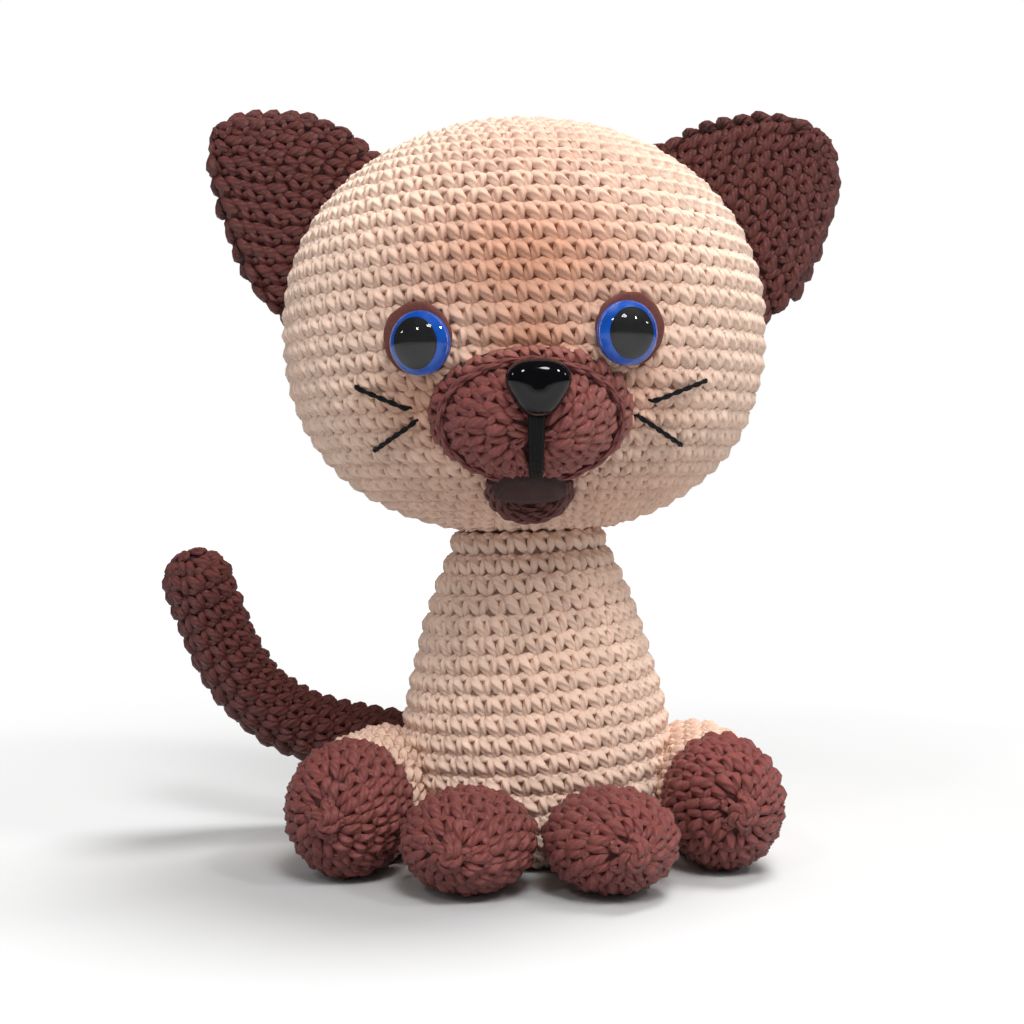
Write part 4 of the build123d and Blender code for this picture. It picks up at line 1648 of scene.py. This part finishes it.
@dataclass
class Studio:
    """White sweep, soft lights and the camera."""

    lens: float = 59.8
    camera_place: tuple[float, float, float] = (-5.4 * MM, -328 * MM, 73 * MM)
    camera_dip: float = 1.415        # degrees below level
    floor_near: float = 0.60         # what the camera sees of the floor by the toy
    floor_far: float = 0.98
    floor_bounce: float = 0.42       # what the floor throws back at the toy
    room: float = 0.33               # light from all round
    gloss_room: float = 0.02         # the dark room that glossy pieces mirror
    overhead: float = 2.5
    overhead_angle: float = 24.0     # degrees that the overhead light spans
    overhead_from: tuple[float, float, float] = (0.24, 0.22, 1.0)
    sweep_half: float = 4.0          # metres
    lamps: tuple[Lamp, ...] = (
        Lamp("front_fill", (0.14, -0.62, 0.84), 0.45, 3.7, glossy=False),
        Lamp("front_lamp", (0.12, -0.61, 0.79), 0.20, 1.7),
        Lamp("left_lamp", (-0.38, -0.64, 0.66), 0.11, 0.9),
        Lamp("right_lamp", (0.60, -0.44, 0.70), 0.11, 1.7),
        Lamp("left_strip", (-0.75, -0.10, 0.42), 0.09, 0.2),
        Lamp("right_strip", (0.80, -0.02, 0.42), 0.09, 0.3),
    )

    def build(self) -> None:
        """Builds the set."""
        bpy.context.scene.view_settings.view_transform = "Standard"
        self._lay_sweep()
        self._light_room()
        self._hang_lamps()
        self._stand_camera()

    def _lay_sweep(self) -> None:
        """Lays the pale floor, brighter away from the toy and duller in what it throws back."""
        material = bpy.data.materials.new("matt_white_sweep")
        material.use_nodes = True
        tree = material.node_tree
        path = add_node(tree, "ShaderNodeLightPath")
        place = add_node(tree, "ShaderNodeTexCoord")
        far = add_node(tree, "ShaderNodeVectorMath", {0: place.outputs["Object"]}, operation="LENGTH")
        seen = add_node(tree, "ShaderNodeMapRange", {
            "Value": far.outputs["Value"], "From Min": 0.12, "From Max": 0.75,
            "To Min": self.floor_near, "To Max": self.floor_far})
        more = add_node(tree, "ShaderNodeMath", {0: seen.outputs[0], 1: self.floor_bounce},
                        operation="SUBTRACT")
        white = add_node(tree, "ShaderNodeMath", {
            0: path.outputs["Is Camera Ray"], 1: more.outputs[0], 2: self.floor_bounce},
            operation="MULTIPLY_ADD")
        grey = add_node(tree, "ShaderNodeCombineColor", {
            "Red": white.outputs[0], "Green": white.outputs[0], "Blue": white.outputs[0]})
        shader = tree.nodes["Principled BSDF"]
        tree.links.new(grey.outputs[0], shader.inputs["Base Color"])
        shader.inputs["Roughness"].default_value = 1.0
        shader.inputs["Specular IOR Level"].default_value = 0.0
        mesh = bpy.data.meshes.new("floor")
        half = self.sweep_half
        mesh.from_pydata([(-half, -half, 0), (half, -half, 0), (half, half, 0), (-half, half, 0)], [],
                         [(0, 1, 2, 3)])
        floor = bpy.data.objects.new("floor", mesh)
        floor.data.materials.append(material)
        bpy.context.scene.collection.objects.link(floor)

    def _light_room(self) -> None:
        """Lights the room evenly, white to the camera and dark to glossy pieces."""
        world = bpy.data.worlds.new("white_studio")
        world.use_nodes = True
        tree = world.node_tree
        path = add_node(tree, "ShaderNodeLightPath")
        level = add_node(tree, "ShaderNodeMath", {
            0: path.outputs["Is Glossy Ray"], 1: self.gloss_room - self.room, 2: self.room},
            operation="MULTIPLY_ADD")
        level = add_node(tree, "ShaderNodeMath", {
            0: path.outputs["Is Camera Ray"], 1: 1.0 - self.room, 2: level.outputs[0]},
            operation="MULTIPLY_ADD")
        background = tree.nodes["Background"]
        background.inputs["Color"].default_value = (1, 1, 1, 1)
        tree.links.new(level.outputs[0], background.inputs["Strength"])
        bpy.context.scene.world = world

    def _hang_lamps(self) -> None:
        """Hangs the overhead light and every lamp."""
        sun = bpy.data.lights.new("overhead_sky", "SUN")
        sun.energy = self.overhead
        sun.angle = math.radians(self.overhead_angle)
        self._aim(sun, self.overhead_from).visible_glossy = False
        for lamp in self.lamps:
            data = bpy.data.lights.new(lamp.name, "AREA")
            data.shape = "DISK"
            data.size = lamp.size
            data.energy = lamp.watts
            self._aim(data, lamp.place).visible_glossy = lamp.glossy

    def _stand_camera(self) -> None:
        """Stands the camera in front of the toy."""
        camera = bpy.data.cameras.new("camera")
        camera.lens = self.lens
        camera.sensor_width = 36.0
        camera.clip_start = 0.01
        view = bpy.data.objects.new("camera", camera)
        view.location = self.camera_place
        view.rotation_euler = (math.radians(90 - self.camera_dip), 0, 0)
        bpy.context.scene.collection.objects.link(view)
        bpy.context.scene.camera = view

    @staticmethod
    def _aim(data: bpy.types.Light, place: tuple[float, float, float]) -> bpy.types.Object:
        """Places a light and turns it toward the toy's middle."""
        light = bpy.data.objects.new(data.name, data)
        light.location = place
        toward = np.array([0, 0, 0.07]) - np.array(place)
        flat = math.hypot(toward[0], toward[1])
        light.rotation_euler = (math.atan2(flat, -toward[2]), 0, math.atan2(-toward[0], toward[1]))
        bpy.context.scene.collection.objects.link(light)
        return light


# Edges of each ear from its tip to its foot: across and height in mm.
EAR_EDGES = {
    Side.LEFT: ([(-63.0, 138.8), (-57.5, 141.8), (-46.0, 142.0), (-38.0, 139.5), (-30.3, 133.0)],
                [(-63.0, 138.8), (-64.2, 131.0), (-60.4, 118.5), (-55.5, 107.0), (-47.5, 100.2)]),
    Side.RIGHT: ([(56.0, 136.5), (50.5, 140.6), (41.0, 141.7), (30.0, 139.0), (20.8, 135.0)],
                 [(56.0, 136.5), (57.9, 127.0), (54.2, 114.5), (49.3, 105.5), (42.2, 100.2)]),
}


def main() -> None:
    """Builds the toy and its set in order."""
    logging.basicConfig(level=logging.INFO, format="%(name)s %(message)s")
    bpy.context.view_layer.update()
    shop = Workshop(Finishes(), StitchWorks())
    tint = Tints()
    Torso().build(shop, tint)
    Neck().build(shop)
    head = Head()
    head.build(shop, tint)
    for side, (upper, lower) in EAR_EDGES.items():
        Ear(side, upper, lower).build(shop, head)
    FrontPaw(Side.LEFT, 17.0, where=(-12.9 * MM, -36.0 * MM)).build(shop)
    FrontPaw(Side.RIGHT, 14.0, where=(11.6 * MM, -36.0 * MM)).build(shop)
    HindLeg(Side.LEFT, (-34.9 * MM, -24.5 * MM), 16.0).build(shop)
    HindLeg(Side.RIGHT, (33.2 * MM, -18.5 * MM), 9.0).build(shop)
    Tail().build(shop)
    shop.works.clear()
    Studio().build()


if __name__ == "__main__":
    main()
